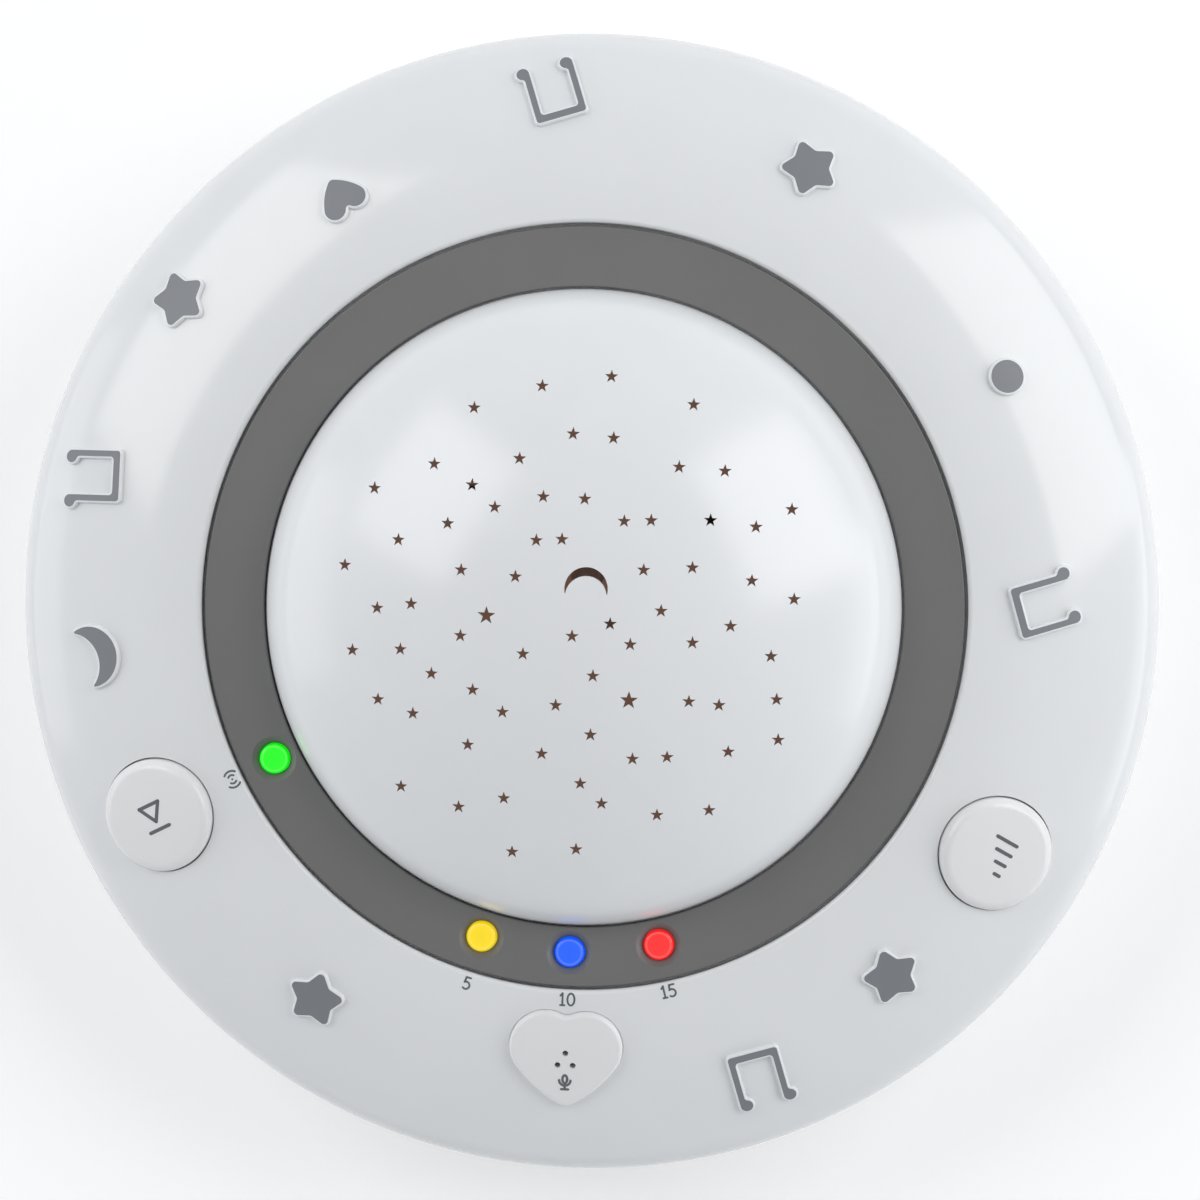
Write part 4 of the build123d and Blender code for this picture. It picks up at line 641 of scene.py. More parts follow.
def build_upper_shell():
    """Crown sheet with its holes, rolled hole edges and walls, well, ledge, rim and inner skin."""
    sine = (opening_radius + shell_wall - crown_middle) / (crown_radius - shell_wall)
    inner_ring = (crown_middle + crown_radius * sine) * round_trip(ring_turns)
    outer_ring = (crown_middle + crown_radius * rim_sine) * round_trip(ring_turns)
    holes = [(crown_place(button_circle, angle), button_hole_outline, shell_wall)
             for angle in button_angles.values()]
    pocket = crown_place(heart_circle, front_angle)
    holes.append((pocket, pocket_outline, pocket_depth))
    edges = [rolled(place, outline, hole_edge, 0.0, -1) for place, outline, _ in holes]
    rings = [outer_ring, inner_ring] + [rows[0][:, :2] for rows, _ in edges]
    fill = dots(opening_radius + 3.5 * mm, body_radius - 4.0 * mm, 1.5 * mm)
    plan, net = cut_plan(rings, fill, 0.6 * mm)
    top, normal = crown_sheet(plan)
    under = top - shell_wall * normal
    patches = [(top, normal, net, 0), (under, -normal, net[:, ::-1], 0)]
    start = 2 * ring_turns
    for (place, outline, depth), (rows, sides) in zip(holes, edges):
        flat, side = outline()
        wall = -side @ place[1][:2]
        down = -np.tile(place[1][2], (len(flat), 1))
        foot = on_crown(place, flat, -shell_wall)
        patches.append(strip(rows, sides))
        patches.append(strip([rows[-1], on_crown(place, flat, -depth)], [wall, wall]))
        patches.append(strip([foot, under[start:start + len(flat)]], [down, down]))
        start += len(flat)
    patches += plate_with_sound_holes(pocket, pocket_outline, -pocket_depth, -shell_wall)
    return patches + turned(*upper_shell_sections(sine))


def plate_with_sound_holes(place, outline, top, foot, grow=0.0):
    """Top, underside and three bored holes of a heart-shaped plate between two heights. The top's
    outline is drawn in where a rounded edge leads up to it."""
    fill = dots(0.4 * mm, 11.0 * mm, 1.0 * mm)
    patches = [crown_cover(place, [outline(inset)[0], *sound_hole_rings()], fill, 0.4 * mm, level, facing)
               for inset, level, facing in ((grow, top, 1), (0.0, foot, -1))]
    for ring in sound_hole_rings():
        wall = -(ring - ring.mean(axis=0)) / sound_hole_radius @ place[1][:2]
        patches.append(strip([on_crown(place, ring, top), on_crown(place, ring, foot)], [wall, wall]))
    return patches


def upper_shell_sections(sine):
    """Half sections of the shell's seam, rim, rolled well edge, well and ledge."""
    rim_tilt = math.degrees(math.acos(rim_sine))
    middle = (rim_middle, rim_middle_z)
    inner_rim = rim_radius - shell_wall
    side, inner_side = rim_middle + rim_radius, rim_middle + inner_rim
    edge_sine = (opening_radius + well_edge_radius - crown_middle) / (crown_radius - well_edge_radius)
    edge_z = crown_middle_z + (crown_radius - well_edge_radius) * math.sqrt(1.0 - edge_sine ** 2)
    crown = (crown_middle, crown_middle_z)
    crown_tilt, edge_tilt = math.degrees(math.acos(sine)), math.degrees(math.acos(edge_sine))
    well_outer = opening_radius + shell_wall
    well_top = crown_middle_z + (crown_radius - shell_wall) * math.sqrt(1.0 - sine ** 2)
    hidden_rim, hidden_normals = arc_row(middle, inner_rim, rim_tilt, 0.0, 9)
    return (
        line_row((inner_side, rim_middle_z), (inner_side, seam_z), (side - seam_bevel, seam_z),
                 (side, seam_z + seam_bevel), (side, rim_middle_z)),
        arc_row(middle, rim_radius, 0.0, rim_tilt, 25),
        arc_row(crown, crown_radius, crown_tilt, edge_tilt, 4),
        arc_row((opening_radius + well_edge_radius, edge_z), well_edge_radius, edge_tilt, 180.0, 10),
        line_row((opening_radius, edge_z), (opening_radius, ledge_z), (ledge_inner, ledge_z),
                 (ledge_inner, ledge_under_z), (well_outer, ledge_under_z), (well_outer, well_top)),
        (hidden_rim, -hidden_normals),
    )


upper_shell = join("upper_shell_moulding", build_upper_shell(), white_plastic)
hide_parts("upper_housing")

# ---------------------------------------------------------------- raised motifs
# Stars, notes, a dot, a heart and a moon stand 0.8 mm proud of the crown, in the same moulding.
# Grey ink is printed on their tops and leaves a narrow white border. Places are the distance from
# the axis in millimetres, then the angle and the turn in degrees.
motif_border = 0.36 * mm
pad_height = 0.8 * mm
pad_root = 0.3 * mm
pad_edge = 0.3 * mm
star_tip_reach = 3.85 * mm
star_waist_reach = 4.11 * mm
star_tip_round = 1.1 * mm
star_waist_round = 0.6 * mm
star_places = ((80.9, 65.1, 44.0), (84.0, 145.3, 38.0), (78.9, -122.1, 53.0), (79.0, -47.8, 17.0))
note_side = 4.55 * mm
note_foot = 5.4 * mm
note_stem = 1.7 * mm
note_beam = 1.9 * mm
note_corner = 0.9 * mm
note_head = 1.4 * mm
note_head_reach = 4.3 * mm
note_fillet = 0.3 * mm
note_places = ((84.9, 95.7, 13.5), (84.3, 167.6, 13.0), (75.7, 2.7, 15.0), (83.1, -67.4, -5.5))
dot_radius = 3.1 * mm
dot_sides = 72
dot_place = (79.0, 31.0, 0.0)
small_heart_half_width = 3.8 * mm
small_heart_top = 3.2 * mm
small_heart_tip = 3.3 * mm
small_heart_lobe = 1.8 * mm
small_heart_side = 9.6 * mm
small_heart_tip_round = 0.9 * mm
small_heart_cleft_round = 0.55 * mm
small_heart_place = (78.4, 123.0, 5.0)
moon_radius = 5.4 * mm
moon_bite = 4.9 * mm
moon_offset = 3.7 * mm
moon_tip = 0.55 * mm
moon_place = (82.5, -171.7, 17.0)
ink_grey = plastic("motif_ink", (0.176, 0.184, 0.200), 0.42, 0.2 * mm, 0.004 * mm, 0.05)


def star_outline(turn, grow):
    """Star pad: a belt round pegs in its five tips and outside its five waists."""
    angle = math.pi / 2 + math.pi / 5 * np.arange(10)
    tip = np.arange(10) % 2 == 0
    reach = np.where(tip, star_tip_reach, star_waist_reach)
    size = np.where(tip, star_tip_round, -star_waist_round)
    return belt(np.column_stack([reach * np.cos(angle), reach * np.sin(angle), size]), grow, turn)


def note_outline(turn, grow):
    """Two joined notes: beam towards the axis, round heads at the outer ends of both stems."""
    inner, roof = note_side - note_stem, note_beam - note_foot
    corner_x, corner_y = note_side - note_corner, note_corner - note_foot
    notch_x = inner - note_fillet
    lean = notch_x - note_side + note_head
    notch_y = note_head_reach - math.sqrt((note_head + note_fillet) ** 2 - lean ** 2)
    pegs = ((-corner_x, corner_y, note_corner), (corner_x, corner_y, note_corner),
            (note_side - note_head, note_head_reach, note_head), (notch_x, notch_y, -note_fillet),
            (notch_x, roof + note_fillet, -note_fillet), (-notch_x, roof + note_fillet, -note_fillet),
            (-inner - note_head, note_head_reach, note_head),
            (-note_side - note_fillet, notch_y, -note_fillet))
    return belt(pegs, grow, turn)


def crescent_pegs(radius, bite, offset, tip):
    """Pegs of a crescent: round back, a horn tip, the bite between the horns, the other horn tip."""
    back, reach = radius - tip, bite + tip
    tip_y = (back ** 2 - reach ** 2 + offset ** 2) / (2.0 * offset)
    tip_x = math.sqrt(back ** 2 - tip_y ** 2)
    return (0.0, 0.0, radius), (tip_x, tip_y, tip), (0.0, offset, -bite), (-tip_x, tip_y, tip)


def moon_outline(turn, grow):
    """Crescent pad with its horns outwards."""
    return belt(crescent_pegs(moon_radius, moon_bite, moon_offset, moon_tip), grow, turn)


def dot_outline(turn, grow):
    """Circle of the dot pad, which looks the same at any turn."""
    side = round_trip(dot_sides)
    return (dot_radius + grow) * side, side


def small_heart_outline(turn, grow):
    """Heart with small round lobes and a deep cleft, with the pad's border round it."""
    pegs = heart_pegs(small_heart_half_width, small_heart_top, small_heart_tip, small_heart_lobe,
                      small_heart_side, small_heart_tip_round, small_heart_cleft_round)
    return belt(pegs, motif_border + grow, turn)


def build_pad(name, outline, radius, angle, turn):
    """Pad with an upright wall, a quarter-round edge, a white border and an inked top."""
    place = crown_place(radius * mm, angle)
    edge_line = partial(outline, turn)
    foot_ring, top_ring, ink_ring = [edge_line(grow)[0] for grow in (0.0, -pad_edge, -motif_border)]
    fill = dots(0.4 * mm, 6.5 * mm, 0.8 * mm)
    patches = raised_side(place, edge_line, pad_edge, pad_height, pad_root)
    patches.append(crown_cover(place, [top_ring, ink_ring], no_dots, 0.0, pad_height))
    patches.append(crown_cover(place, [ink_ring], fill, 0.25 * mm, pad_height, slot=1))
    patches.append(crown_cover(place, [foot_ring], no_dots, 0.0, -pad_root, facing=-1))
    join(name, patches, white_plastic, ink_grey)


for number, spot in enumerate(star_places, 1):
    build_pad(f"star_motif_{number}", star_outline, *spot)
for number, spot in enumerate(note_places, 1):
    build_pad(f"note_motif_{number}", note_outline, *spot)
build_pad("dot_motif", dot_outline, *dot_place)
build_pad("small_heart_motif", small_heart_outline, *small_heart_place)
build_pad("moon_motif", moon_outline, *moon_place)

# ---------------------------------------------------------------- heart plate
# A separate white ABS plate over the microphone, glued into the pocket: it follows the crown's
# curve, stands 1.2 mm proud and has a generously rounded edge and three sound holes.
plate_height = 1.2 * mm
plate_edge = 0.7 * mm
plate_root = 0.95 * mm
plate_white = plastic("white_plate_plastic", (0.75, 0.755, 0.765), 0.2, 0.5 * mm, 0.001 * mm)


def build_heart_plate():
    """Upright wall, quarter-round edge, and the plate between its top and its glued underside."""
    place = crown_place(heart_circle, front_angle)
    side = raised_side(place, heart_plate_outline, plate_edge, plate_height, plate_root)
    return side + plate_with_sound_holes(place, heart_plate_outline, plate_height, -plate_root, -plate_edge)


heart_plate = join("heart_sound_plate", build_heart_plate(), plate_white)
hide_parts("mic_cover")

# ---------------------------------------------------------------- push buttons
# Two domed ABS caps, each with a broad soft edge, a skirt with a retaining flange and a stem that
# presses a small switch. They slide in the shell's guide collars.
button_radius = 9.5 * mm
button_proud = 1.2 * mm
button_crown = 0.5 * mm
button_shoulder = 1.7 * mm
button_drop = 1.25 * mm
button_wall = 1.5 * mm
button_flange_radius = 10.95 * mm
button_flange_top = -4.5 * mm
button_flange_low = -5.7 * mm
button_stem_radius = 2.5 * mm
button_stem_end = -7.5 * mm
button_turns = 144
button_rows = 12
button_white = plastic("white_button_plastic", (0.755, 0.755, 0.765), 0.22, 0.5 * mm, 0.001 * mm)


def button_top(reach):
    """Height of a cap's domed top at a distance from its axis."""
    return button_proud + button_crown * (1.0 - (reach / button_radius) ** 2)


def button_sections():
    """Half sections of a cap: underside, flange, wall, elliptic shoulder and domed top."""
    roof = button_proud - button_wall
    inner = button_radius - button_wall
    flat = button_radius - button_shoulder
    reach = np.linspace(flat, 0.0, button_rows)
    slope = 2.0 * button_crown * reach / button_radius ** 2
    dome = np.column_stack([reach, button_top(reach)])
    dome_normals = np.column_stack([slope, np.ones(button_rows)]) / np.hypot(slope, 1.0)[:, None]
    turn = np.linspace(0.0, math.acos(slope[0] / math.hypot(slope[0], 1.0)), button_rows)
    share = np.sin(turn) / math.sin(turn[-1])
    shoulder = np.column_stack([flat + button_shoulder * np.sqrt(1.0 - share ** 2),
                                button_top(flat) - button_drop * (1.0 - share)])
    sides = np.column_stack([np.cos(turn), np.sin(turn)])
    wall_top = button_top(flat) - button_drop
    base = line_row((0.0, button_stem_end), (button_stem_radius, button_stem_end), (button_stem_radius, roof),
                    (inner, roof), (inner, button_flange_low), (button_flange_radius, button_flange_low),
                    (button_flange_radius, button_flange_top), (button_radius, button_flange_top),
                    (button_radius, wall_top))
    return base, (shoulder, sides), (dome, dome_normals)


def placed(patches, place):
    """Carries patches from a place's own axes to where they stand."""
    centre, axes = place
    return [(centre + points @ axes, normals @ axes, faces, slot) for points, normals, faces, slot in patches]


for side_name, angle in button_angles.items():
    cap_patches = placed(turned(*button_sections(), count=button_turns), crown_place(button_circle, angle))
    cap = join(f"{side_name}_button_cap", cap_patches, button_white, body=f"{side_name}_button")
    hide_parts(f"{side_name}_button")

# ---------------------------------------------------------------- trim ring
# Dark grey ABS with a satin, finely speckled face that slopes gently outwards, and four
# countersunk holes for the lamps. It is screwed to the ledge and holds the dome down.
ring_outer = 62.7 * mm
ring_inner = 52.7 * mm
ring_outer_z = 38.44 * mm
ring_rise = 0.6 * mm
ring_under_z = 37.04 * mm
ring_foot = 1.7 * mm
ring_edge = 0.3 * mm
lamp_circle = 57.05 * mm
lamp_angles = (-104.9, -90.0, -75.1, -151.5)
lamp_bore = 2.6 * mm
lamp_hole_sides = 64
countersink = 3.65 * mm
countersink_depth = 1.0 * mm
countersink_edge = 0.12 * mm
ring_grey = plastic("grey_ring_plastic", (0.135, 0.135, 0.132), 0.42, 0.22 * mm, 0.02 * mm, 0.05)


def ring_face_z(reach):
    """Height of the ring's face at a distance from the axis."""
    return ring_outer_z + ring_rise * (ring_outer - reach) / (ring_outer - ring_inner)


def build_trim_ring():
    """Sloping face and flat underside with four lamp holes, rounded edges and upright walls."""
    slope = ring_rise / (ring_outer - ring_inner)
    tilt = math.degrees(math.atan(slope))
    outer_face, inner_face = ring_outer - ring_edge, ring_inner + ring_edge
    outer_z, inner_z = ring_face_z(outer_face) - ring_edge, ring_face_z(inner_face) - ring_edge
    outer_end = outer_face + ring_edge * math.sin(math.radians(tilt))
    inner_end = inner_face + ring_edge * math.sin(math.radians(tilt))
    sections = [
        line_row((ring_outer - ring_foot, ring_under_z), (ring_outer - ring_foot, ledge_z),
                 (ring_outer, ledge_z), (ring_outer, outer_z)),
        arc_row((outer_face, outer_z), ring_edge, 0.0, 90.0 - tilt, 8),
        arc_row((inner_face, inner_z), ring_edge, 90.0 - tilt, 180.0, 8),
        line_row((ring_inner, inner_z), (ring_inner, ring_under_z)),
    ]
    turn = np.radians(lamp_angles)
    spots = lamp_circle * np.stack([np.cos(turn), np.sin(turn)], axis=1)
    circle = round_trip(lamp_hole_sides)
    top_rings = [spot + (countersink + countersink_edge) * circle for spot in spots]
    low_rings = [spot + lamp_bore * circle for spot in spots]
    fill = dots(inner_face + 1.0 * mm, outer_face - 0.5 * mm, 1.5 * mm)
    plan, net = cut_plan([outer_end * round_trip(ring_turns), inner_end * round_trip(ring_turns), *top_rings],
                         fill, 0.5 * mm)
    reach = np.hypot(plan[:, 0], plan[:, 1])
    out = plan / reach[:, None]
    high = ring_edge * math.cos(math.radians(tilt)) - ring_edge
    face = np.column_stack([plan, ring_face_z(reach) + high + slope * (outer_end - outer_face)])
    face_normals = np.column_stack([slope * out, np.ones(len(plan))]) / math.hypot(slope, 1.0)
    patches = [(face, face_normals, net, 0)]
    under, under_net = cut_plan([(ring_outer - ring_foot) * round_trip(ring_turns),
                                 ring_inner * round_trip(ring_turns), *low_rings], no_dots, 0.0)
    down = np.tile((0.0, 0.0, -1.0), (len(under), 1))
    under = np.column_stack([under, np.full(len(under), ring_under_z)])
    patches.append((under, down, under_net[:, ::-1], 0))
    start = 2 * ring_turns
    level = np.ones(lamp_hole_sides)
    cone = np.column_stack([-countersink_depth * circle, (countersink - lamp_bore) * level])
    cone /= np.linalg.norm(cone, axis=1)[:, None]
    bore = np.column_stack([-circle, 0.0 * level])
    for spot, low in zip(spots, low_rings):
        end = start + lamp_hole_sides
        lip = face[start:end]
        inside = np.column_stack([spot + countersink * circle, lip[:, 2] - countersink_edge / 2])
        seat = np.column_stack([low, (ring_face_z(lamp_circle) - countersink_depth) * level])
        foot = np.column_stack([low, ring_under_z * level])
        patches.append(strip([lip, inside], [face_normals[start:end], cone]))
        patches.append(strip([inside, seat], [cone, cone]))
        patches.append(strip([seat, foot], [bore, bore]))
        start = end
    return patches + turned(*sections)


trim_ring = join("grey_trim_ring", build_trim_ring(), ring_grey)
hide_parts("trim_ring")


# ---------------------------------------------------------------- indicator lamps
# Lamps in coloured clear resin, lit from inside: saturated over the flat top, a little paler in a
# thin line near the edge. Three more clear lamps on the board throw the stars.
lamp_radius = 2.5 * mm
lamp_roughness = 0.14
resin_share = 0.25
# The glow across a lamp: share of its radius, share of its colour and added white. The first two
# rows are the stops that a ramp starts with, at its two ends.
lamp_glow = ((0.0, 0.94, 0.0), (1.0, 0.8, 0.0), (0.72, 1.0, 0.0), (0.80, 0.92, 0.10), (0.88, 0.95, 0.0))


def lamp_resin(name, node, colour, level):
    """Coloured resin that glows: the light is even over the top and changes near the lamp's edge."""
    low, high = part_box(node)
    middle = [(low[0] + high[0]) / 2, (low[1] + high[1]) / 2, 0.0]
    resin = plastic(name, [resin_share * c for c in colour], lamp_roughness, 0.4 * mm, 0.001 * mm, 0.03)
    material = glowing(resin, colour, level)
    tree = material.node_tree
    shader = tree.nodes["Principled BSDF"]
    centred = tree.nodes.new("ShaderNodeMapping")
    centred.inputs["Location"].default_value = [-value for value in middle]
    centred.inputs["Scale"].default_value = (1.0, 1.0, 0.0)
    reach = tree.nodes.new("ShaderNodeVectorMath")
    reach.operation = "LENGTH"
    ramp = tree.nodes.new("ShaderNodeValToRGB")
    stops = ramp.color_ramp.elements
    for number, (spot, share, pale) in enumerate(lamp_glow):
        stop = stops[number] if number < 2 else stops.new(spot)
        stop.color = (*[share * c + pale for c in colour], 1.0)
    scale = arithmetic(tree, "DIVIDE", None, lamp_radius)
    link_nodes(tree, (tree.nodes["Texture Coordinate"], "Object", centred, "Vector"),
               (centred, "Vector", reach, 0), (reach, "Value", scale, 0), (scale, "Value", ramp, "Fac"),
               (ramp, "Color", shader, "Emission Color"))
    paint(material, node)


lamp_resin("yellow_lamp_resin", "timer_lamp_5", (0.90, 0.66, 0.002), 0.88)
lamp_resin("blue_lamp_resin", "timer_lamp_10", (0.001, 0.10, 0.95), 0.95)
lamp_resin("red_lamp_resin", "timer_lamp_15", (0.90, 0.015, 0.015), 0.92)
lamp_resin("green_lamp_resin", "voice_lamp", (0.001, 0.88, 0.002), 0.95)
paint(plastic("clear_lamp_resin", (0.75, 0.76, 0.78), 0.08, 0.4 * mm, 0.001 * mm, 0.02), "projection_lamps")

# ---------------------------------------------------------------- star dome
# Shallow white dome with a rounded shoulder, pierced by small stars and one crescent. The chart
# gives the stars' distances from the axis and, for each, their angles.
dome_radius = 52.4 * mm
dome_crown = 84.0 * mm
dome_shoulder = 12.0 * mm
dome_shoulder_z = 37.64 * mm
dome_wall = 1.8 * mm
dome_flange = 54.0 * mm
pierced_radius = 43.0 * mm
dome_share = (dome_radius - dome_shoulder) / (dome_crown - dome_shoulder)
dome_middle_z = dome_shoulder_z - (dome_crown - dome_shoulder) * math.sqrt(1.0 - dome_share ** 2)
star_rings = {
    3.4: (269,), 6.1: (349,), 10.3: (220, 290, 335), 11.2: (149,), 12.3: (101,), 13.4: (35, 119),
    14.1: (5,), 14.9: (261,), 17.1: (64,), 18.7: (87, 193), 19.6: (53, 107, 161, 236, 280, 349),
    20.5: (24, 219), 21.5: (129,), 23.2: (259, 325), 25.2: (147, 205, 294, 358),
    26.6: (37, 112, 131, 179), 27.5: (233, 274, 305, 330), 29.0: (13, 57, 80, 93, 194),
    31.1: (160, 214, 280), 32.3: (28, 181, 251, 350), 33.3: (46, 136, 320), 35.3: (6, 206, 294, 339),
    37.1: (101, 119, 192, 241), 38.6: (28, 63, 84, 151, 171, 272, 306, 330), 40.6: (227, 257),
}
large_star_rings = {14.1: (183,), 16.4: (305,)}
star_hole_tip = 1.15 * mm
large_star_hole_tip = 1.55 * mm
star_hole_waist = 0.40
crescent_spot = (1.9 * mm, 4.3 * mm)
crescent_radius = 3.5 * mm
crescent_bite = 3.35 * mm
crescent_drop = 1.3 * mm
crescent_tip = 0.02 * mm
dome_white = plastic("white_dome_plastic", (0.735, 0.745, 0.76), 0.19, 0.6 * mm, 0.001 * mm)


def star_hole(radius, angle, tip):
    """Ten corners of a star hole with one tip towards the back."""
    turn = np.radians(90.0 + 36.0 * np.arange(10))
    reach = np.where(np.arange(10) % 2 == 0, tip, tip * star_hole_waist)
    spot = radius * mm * np.array([math.cos(math.radians(angle)), math.sin(math.radians(angle))])
    return spot + reach[:, None] * np.stack([np.cos(turn), np.sin(turn)], axis=1)


def crescent_hole():
    """Outline of the crescent hole, with its horns towards the front."""
    pegs = crescent_pegs(crescent_radius, crescent_bite, crescent_drop, crescent_tip)
    return belt(pegs, turn=180.0)[0] + np.array(crescent_spot)


def dome_z(plan, inset):
    """Height of the dome's outer skin, or of one moved inwards, over a flat plan."""
    return dome_middle_z + np.sqrt((dome_crown - inset) ** 2 - (plan ** 2).sum(axis=1))


def pierced_wall(ring):
    """Upright wall of a hole through the dome, each stretch with its own flat normal."""
    ahead = np.roll(ring, -1, axis=0)
    run = ahead - ring
    side = np.stack([-run[:, 1], run[:, 0]], axis=1) / np.linalg.norm(run, axis=1)[:, None]
    corners = ((ring, 0.0), (ahead, 0.0), (ahead, dome_wall), (ring, dome_wall))
    spots = np.concatenate([np.column_stack([line, dome_z(line, inset)]) for line, inset in corners])
    faces = np.arange(len(spots)).reshape(4, -1).T
    return spots, np.tile(np.column_stack([side, np.zeros(len(ring))]), (4, 1)), faces, 0


def build_dome():
    """Pierced crown in two skins, hole walls, and the turned shoulder, skirt and flange."""
    holes = [crescent_hole()]
    for chart, tip in ((star_rings, star_hole_tip), (large_star_rings, large_star_hole_tip)):
        holes += [star_hole(radius, angle, tip) for radius, angles in chart.items() for angle in angles]
    plan, net = cut_plan([pierced_radius * round_trip(ring_turns), *holes],
                         dots(0.5 * mm, pierced_radius - 0.5 * mm, 1.3 * mm), 0.4 * mm)
    top = np.column_stack([plan, dome_z(plan, 0.0)])
    under = np.column_stack([plan, dome_z(plan, dome_wall)])
    middle = np.array((0.0, 0.0, dome_middle_z))
    patches = [(top, (top - middle) / dome_crown, net, 0),
               (under, (middle - under) / (dome_crown - dome_wall), net[:, ::-1], 0)]
    patches += [pierced_wall(ring) for ring in holes]
    tangent = math.degrees(math.acos(dome_share))
    shoulder = (dome_radius - dome_shoulder, dome_shoulder_z)
    crown = (0.0, dome_middle_z)
    inner_crown, inner_shoulder = dome_crown - dome_wall, dome_shoulder - dome_wall
    outer_end = math.degrees(math.acos(pierced_radius / dome_crown))
    inner_end = math.degrees(math.acos(pierced_radius / inner_crown))
    crown_row = arc_row(crown, inner_crown, inner_end, tangent, 5)
    shoulder_row = arc_row(shoulder, inner_shoulder, tangent, 0.0, 20)
    inner_skirt = shoulder[0] + inner_shoulder
    return patches + turned(
        line_row((inner_skirt, dome_shoulder_z), (inner_skirt, ledge_z), (dome_flange, ledge_z),
                 (dome_flange, ring_under_z), (dome_radius, ring_under_z), (dome_radius, dome_shoulder_z)),
        arc_row(shoulder, dome_shoulder, 0.0, tangent, 32),
        arc_row(crown, dome_crown, tangent, outer_end, 6),
        (crown_row[0], -crown_row[1]), (shoulder_row[0], -shoulder_row[1]))


star_dome = join("pierced_star_dome", build_dome(), dome_white)
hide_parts("star_dome")

# ---------------------------------------------------------------- printed numbers and marks
# Pad-printed in one grey ink, with tops towards the axis: plain numbers by the timer lamps, sound
# arcs by the voice lamp, a microphone on the heart plate, and a step mark and bars on the buttons.
stroke_width = 0.16
stroke_end_rows = 6
mark_gap = 0.24
ink_height = 0.03 * mm
ink_root = 0.02 * mm
lamp_mark_height = 2.0 * mm
plate_mark_height = 2.6 * mm
plate_mark_shift = 4.0 * mm
button_mark_height = 3.8 * mm
# The marks beside the lamps, in the lamps' order, with their distances from the axis.
lamp_marks = (("timer_number_5", "5", 65.1 * mm), ("timer_number_10", "10", 64.8 * mm),
              ("timer_number_15", "15", 64.8 * mm), ("sound_arcs_mark", ("sound",), 64.8 * mm))
mark_ink = plastic("mark_ink", (0.095, 0.105, 0.115), 0.45, 0.2 * mm, 0.003 * mm, 0.05)


def bow(x, y, wide, high, start, end, count=14):
    """Points of an elliptic bow of a mark, from start to end in degrees."""
    angle = np.radians(np.linspace(start, end, count))
    return np.stack([x + wide * np.cos(angle), y + high * np.sin(angle)], axis=1)


# Each mark: its width and its strokes, with its height as one.
marks = {
    "0": (0.58, [bow(0.29, 0.5, 0.29, 0.5, 0.0, 360.0, 29)]),
    "1": (0.34, [[(0.0, 0.80), (0.17, 1.0)], [(0.17, 1.0), (0.17, 0.0)], [(0.0, 0.0), (0.34, 0.0)]]),
    "5": (0.52, [[(0.48, 1.0), (0.10, 1.0)], [(0.10, 1.0), (0.06, 0.56)],
                 bow(0.22, 0.31, 0.30, 0.31, 125.0, -130.0, 20)]),
    "step": (1.15, [[(0.0, 0.0), (0.0, 1.0)], [(0.0, 1.0), (0.78, 0.5)], [(0.78, 0.5), (0.0, 0.0)],
                    [(1.15, 0.0), (1.15, 1.0)]]),
    "bars": (1.50, [[(0.0, 0.0), (0.0, 0.25)], [(0.5, 0.0), (0.5, 0.5)], [(1.0, 0.0), (1.0, 0.75)],
                    [(1.5, 0.0), (1.5, 1.0)]]),
    "microphone": (0.72, [bow(0.36, 0.70, 0.15, 0.28, 0.0, 360.0, 24),
                          bow(0.36, 0.62, 0.36, 0.36, 180.0, 360.0),
                          [(0.36, 0.26), (0.36, 0.0)], [(0.14, 0.0), (0.58, 0.0)]]),
    "sound": (1.40, [[(0.69, 0.5), (0.71, 0.5)], bow(0.7, 0.5, 0.35, 0.35, -45.0, 45.0),
                     bow(0.7, 0.5, 0.7, 0.7, -45.0, 45.0), bow(0.7, 0.5, 0.35, 0.35, 135.0, 225.0),
                     bow(0.7, 0.5, 0.7, 0.7, 135.0, 225.0)]),
}


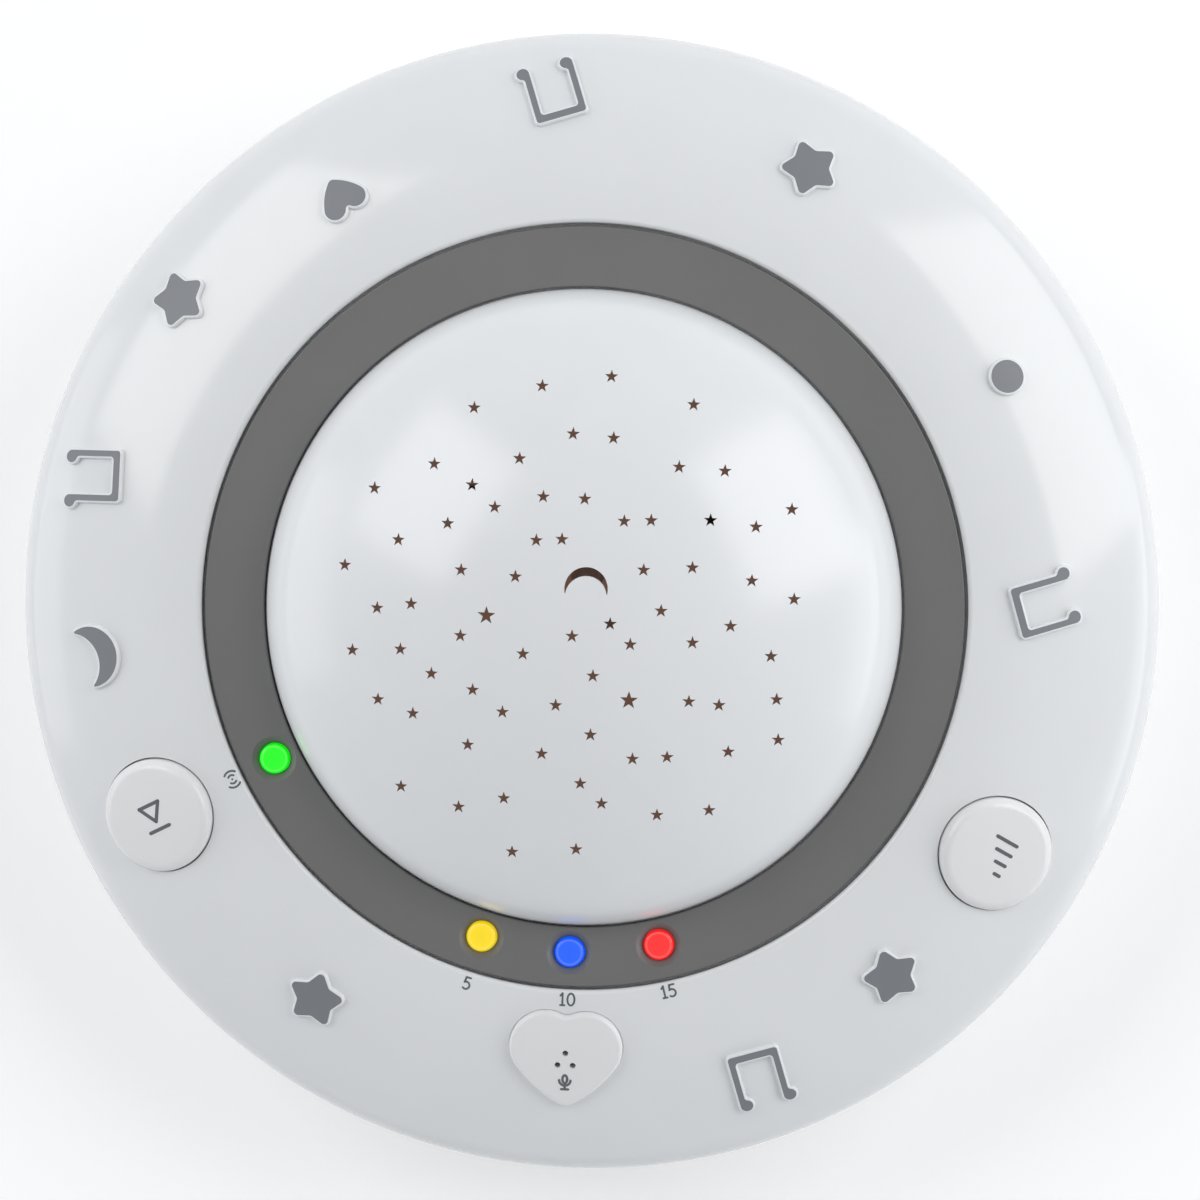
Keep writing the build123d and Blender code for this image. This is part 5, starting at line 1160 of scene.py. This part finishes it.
def ink_stroke(path, lay):
    """Flat ribbon of ink along a stroke, narrowed to round ends: a low box section carried along
    it, whose corners come twice so that each of its four sides keeps its own flat normal."""
    path = np.array(path, float)
    if len(path) == 2:
        path = path[0] + np.linspace(0.0, 1.0, 5)[:, None] * (path[1] - path[0])
    run = np.gradient(path, axis=0)
    run /= np.linalg.norm(run, axis=1)[:, None]
    half = stroke_width / 2
    turn = np.radians(np.linspace(90.0, 15.0, stroke_end_rows))
    head = path[0] - half * np.sin(turn)[:, None] * run[0]
    tail = path[-1] + half * np.sin(turn[::-1])[:, None] * run[-1]
    spine = np.concatenate([head, path, tail])
    ends = [np.tile(way, (stroke_end_rows, 1)) for way in (run[0], run[-1])]
    along = np.concatenate([ends[0], run, ends[1]])
    across = np.stack([-along[:, 1], along[:, 0]], axis=1)
    wide = np.concatenate([half * np.cos(turn), np.full(len(path), half), half * np.cos(turn[::-1])])
    left, right = spine + wide[:, None] * across, spine - wide[:, None] * across
    low_left, high_left = lay(left, -ink_root), lay(left, ink_height)
    low_right, high_right = lay(right, -ink_root), lay(right, ink_height)
    side = lay(spine + half * across, 0.0) - lay(spine - half * across, 0.0)
    side /= np.linalg.norm(side, axis=1)[:, None]
    up = (high_left - low_left) / np.linalg.norm(high_left - low_left, axis=1)[:, None]
    points = np.stack([low_left, high_left, high_left, high_right, high_right, low_right, low_right,
                       low_left], axis=1)
    normals = np.stack([side, side, up, up, -side, -side, -up, -up], axis=1)
    return points.reshape(-1, 3), normals.reshape(-1, 3), grid_faces(len(points), 8), 0


def print_marks(name, signs, place, height, surface, body="root", shift=0.0):
    """Marks side by side, centred on a place, with their tops towards the axis, on a surface."""
    start = -(sum(marks[sign][0] for sign in signs) + mark_gap * (len(signs) - 1)) / 2
    patches = []
    for sign in signs:
        width, strokes = marks[sign]

        def lay(flat, proud, start=start):
            spot = np.stack([-(flat[:, 0] + start), 0.5 - flat[:, 1]], axis=1) * height
            return surface(place, spot + np.array((0.0, shift)), proud)

        patches += [ink_stroke(path, lay) for path in strokes]
        start += width + mark_gap
    join(name, patches, mark_ink, body=body)


def on_button(place, flat, height):
    """Points over a flat outline on a cap's domed top."""
    centre, axes = place
    rise = button_top(np.hypot(flat[:, 0], flat[:, 1])) + height
    return centre + np.column_stack([flat, rise]) @ axes


def on_plate(place, flat, height):
    """Points over a flat outline on the heart plate's top."""
    return on_crown(place, flat, plate_height + height)


for (mark_name, signs, radius), angle in zip(lamp_marks, lamp_angles):
    print_marks(mark_name, signs, crown_place(radius, angle), lamp_mark_height, on_crown)
print_marks("microphone_mark", ("microphone",), crown_place(heart_circle, front_angle), plate_mark_height,
            on_plate, shift=plate_mark_shift)
for side_name, sign, mark_name in (("mod", "step", "step_mark"), ("vol", "bars", "rising_bars_mark")):
    print_marks(mark_name, (sign,), crown_place(button_circle, button_angles[side_name]),
                button_mark_height, on_button, f"{side_name}_button")
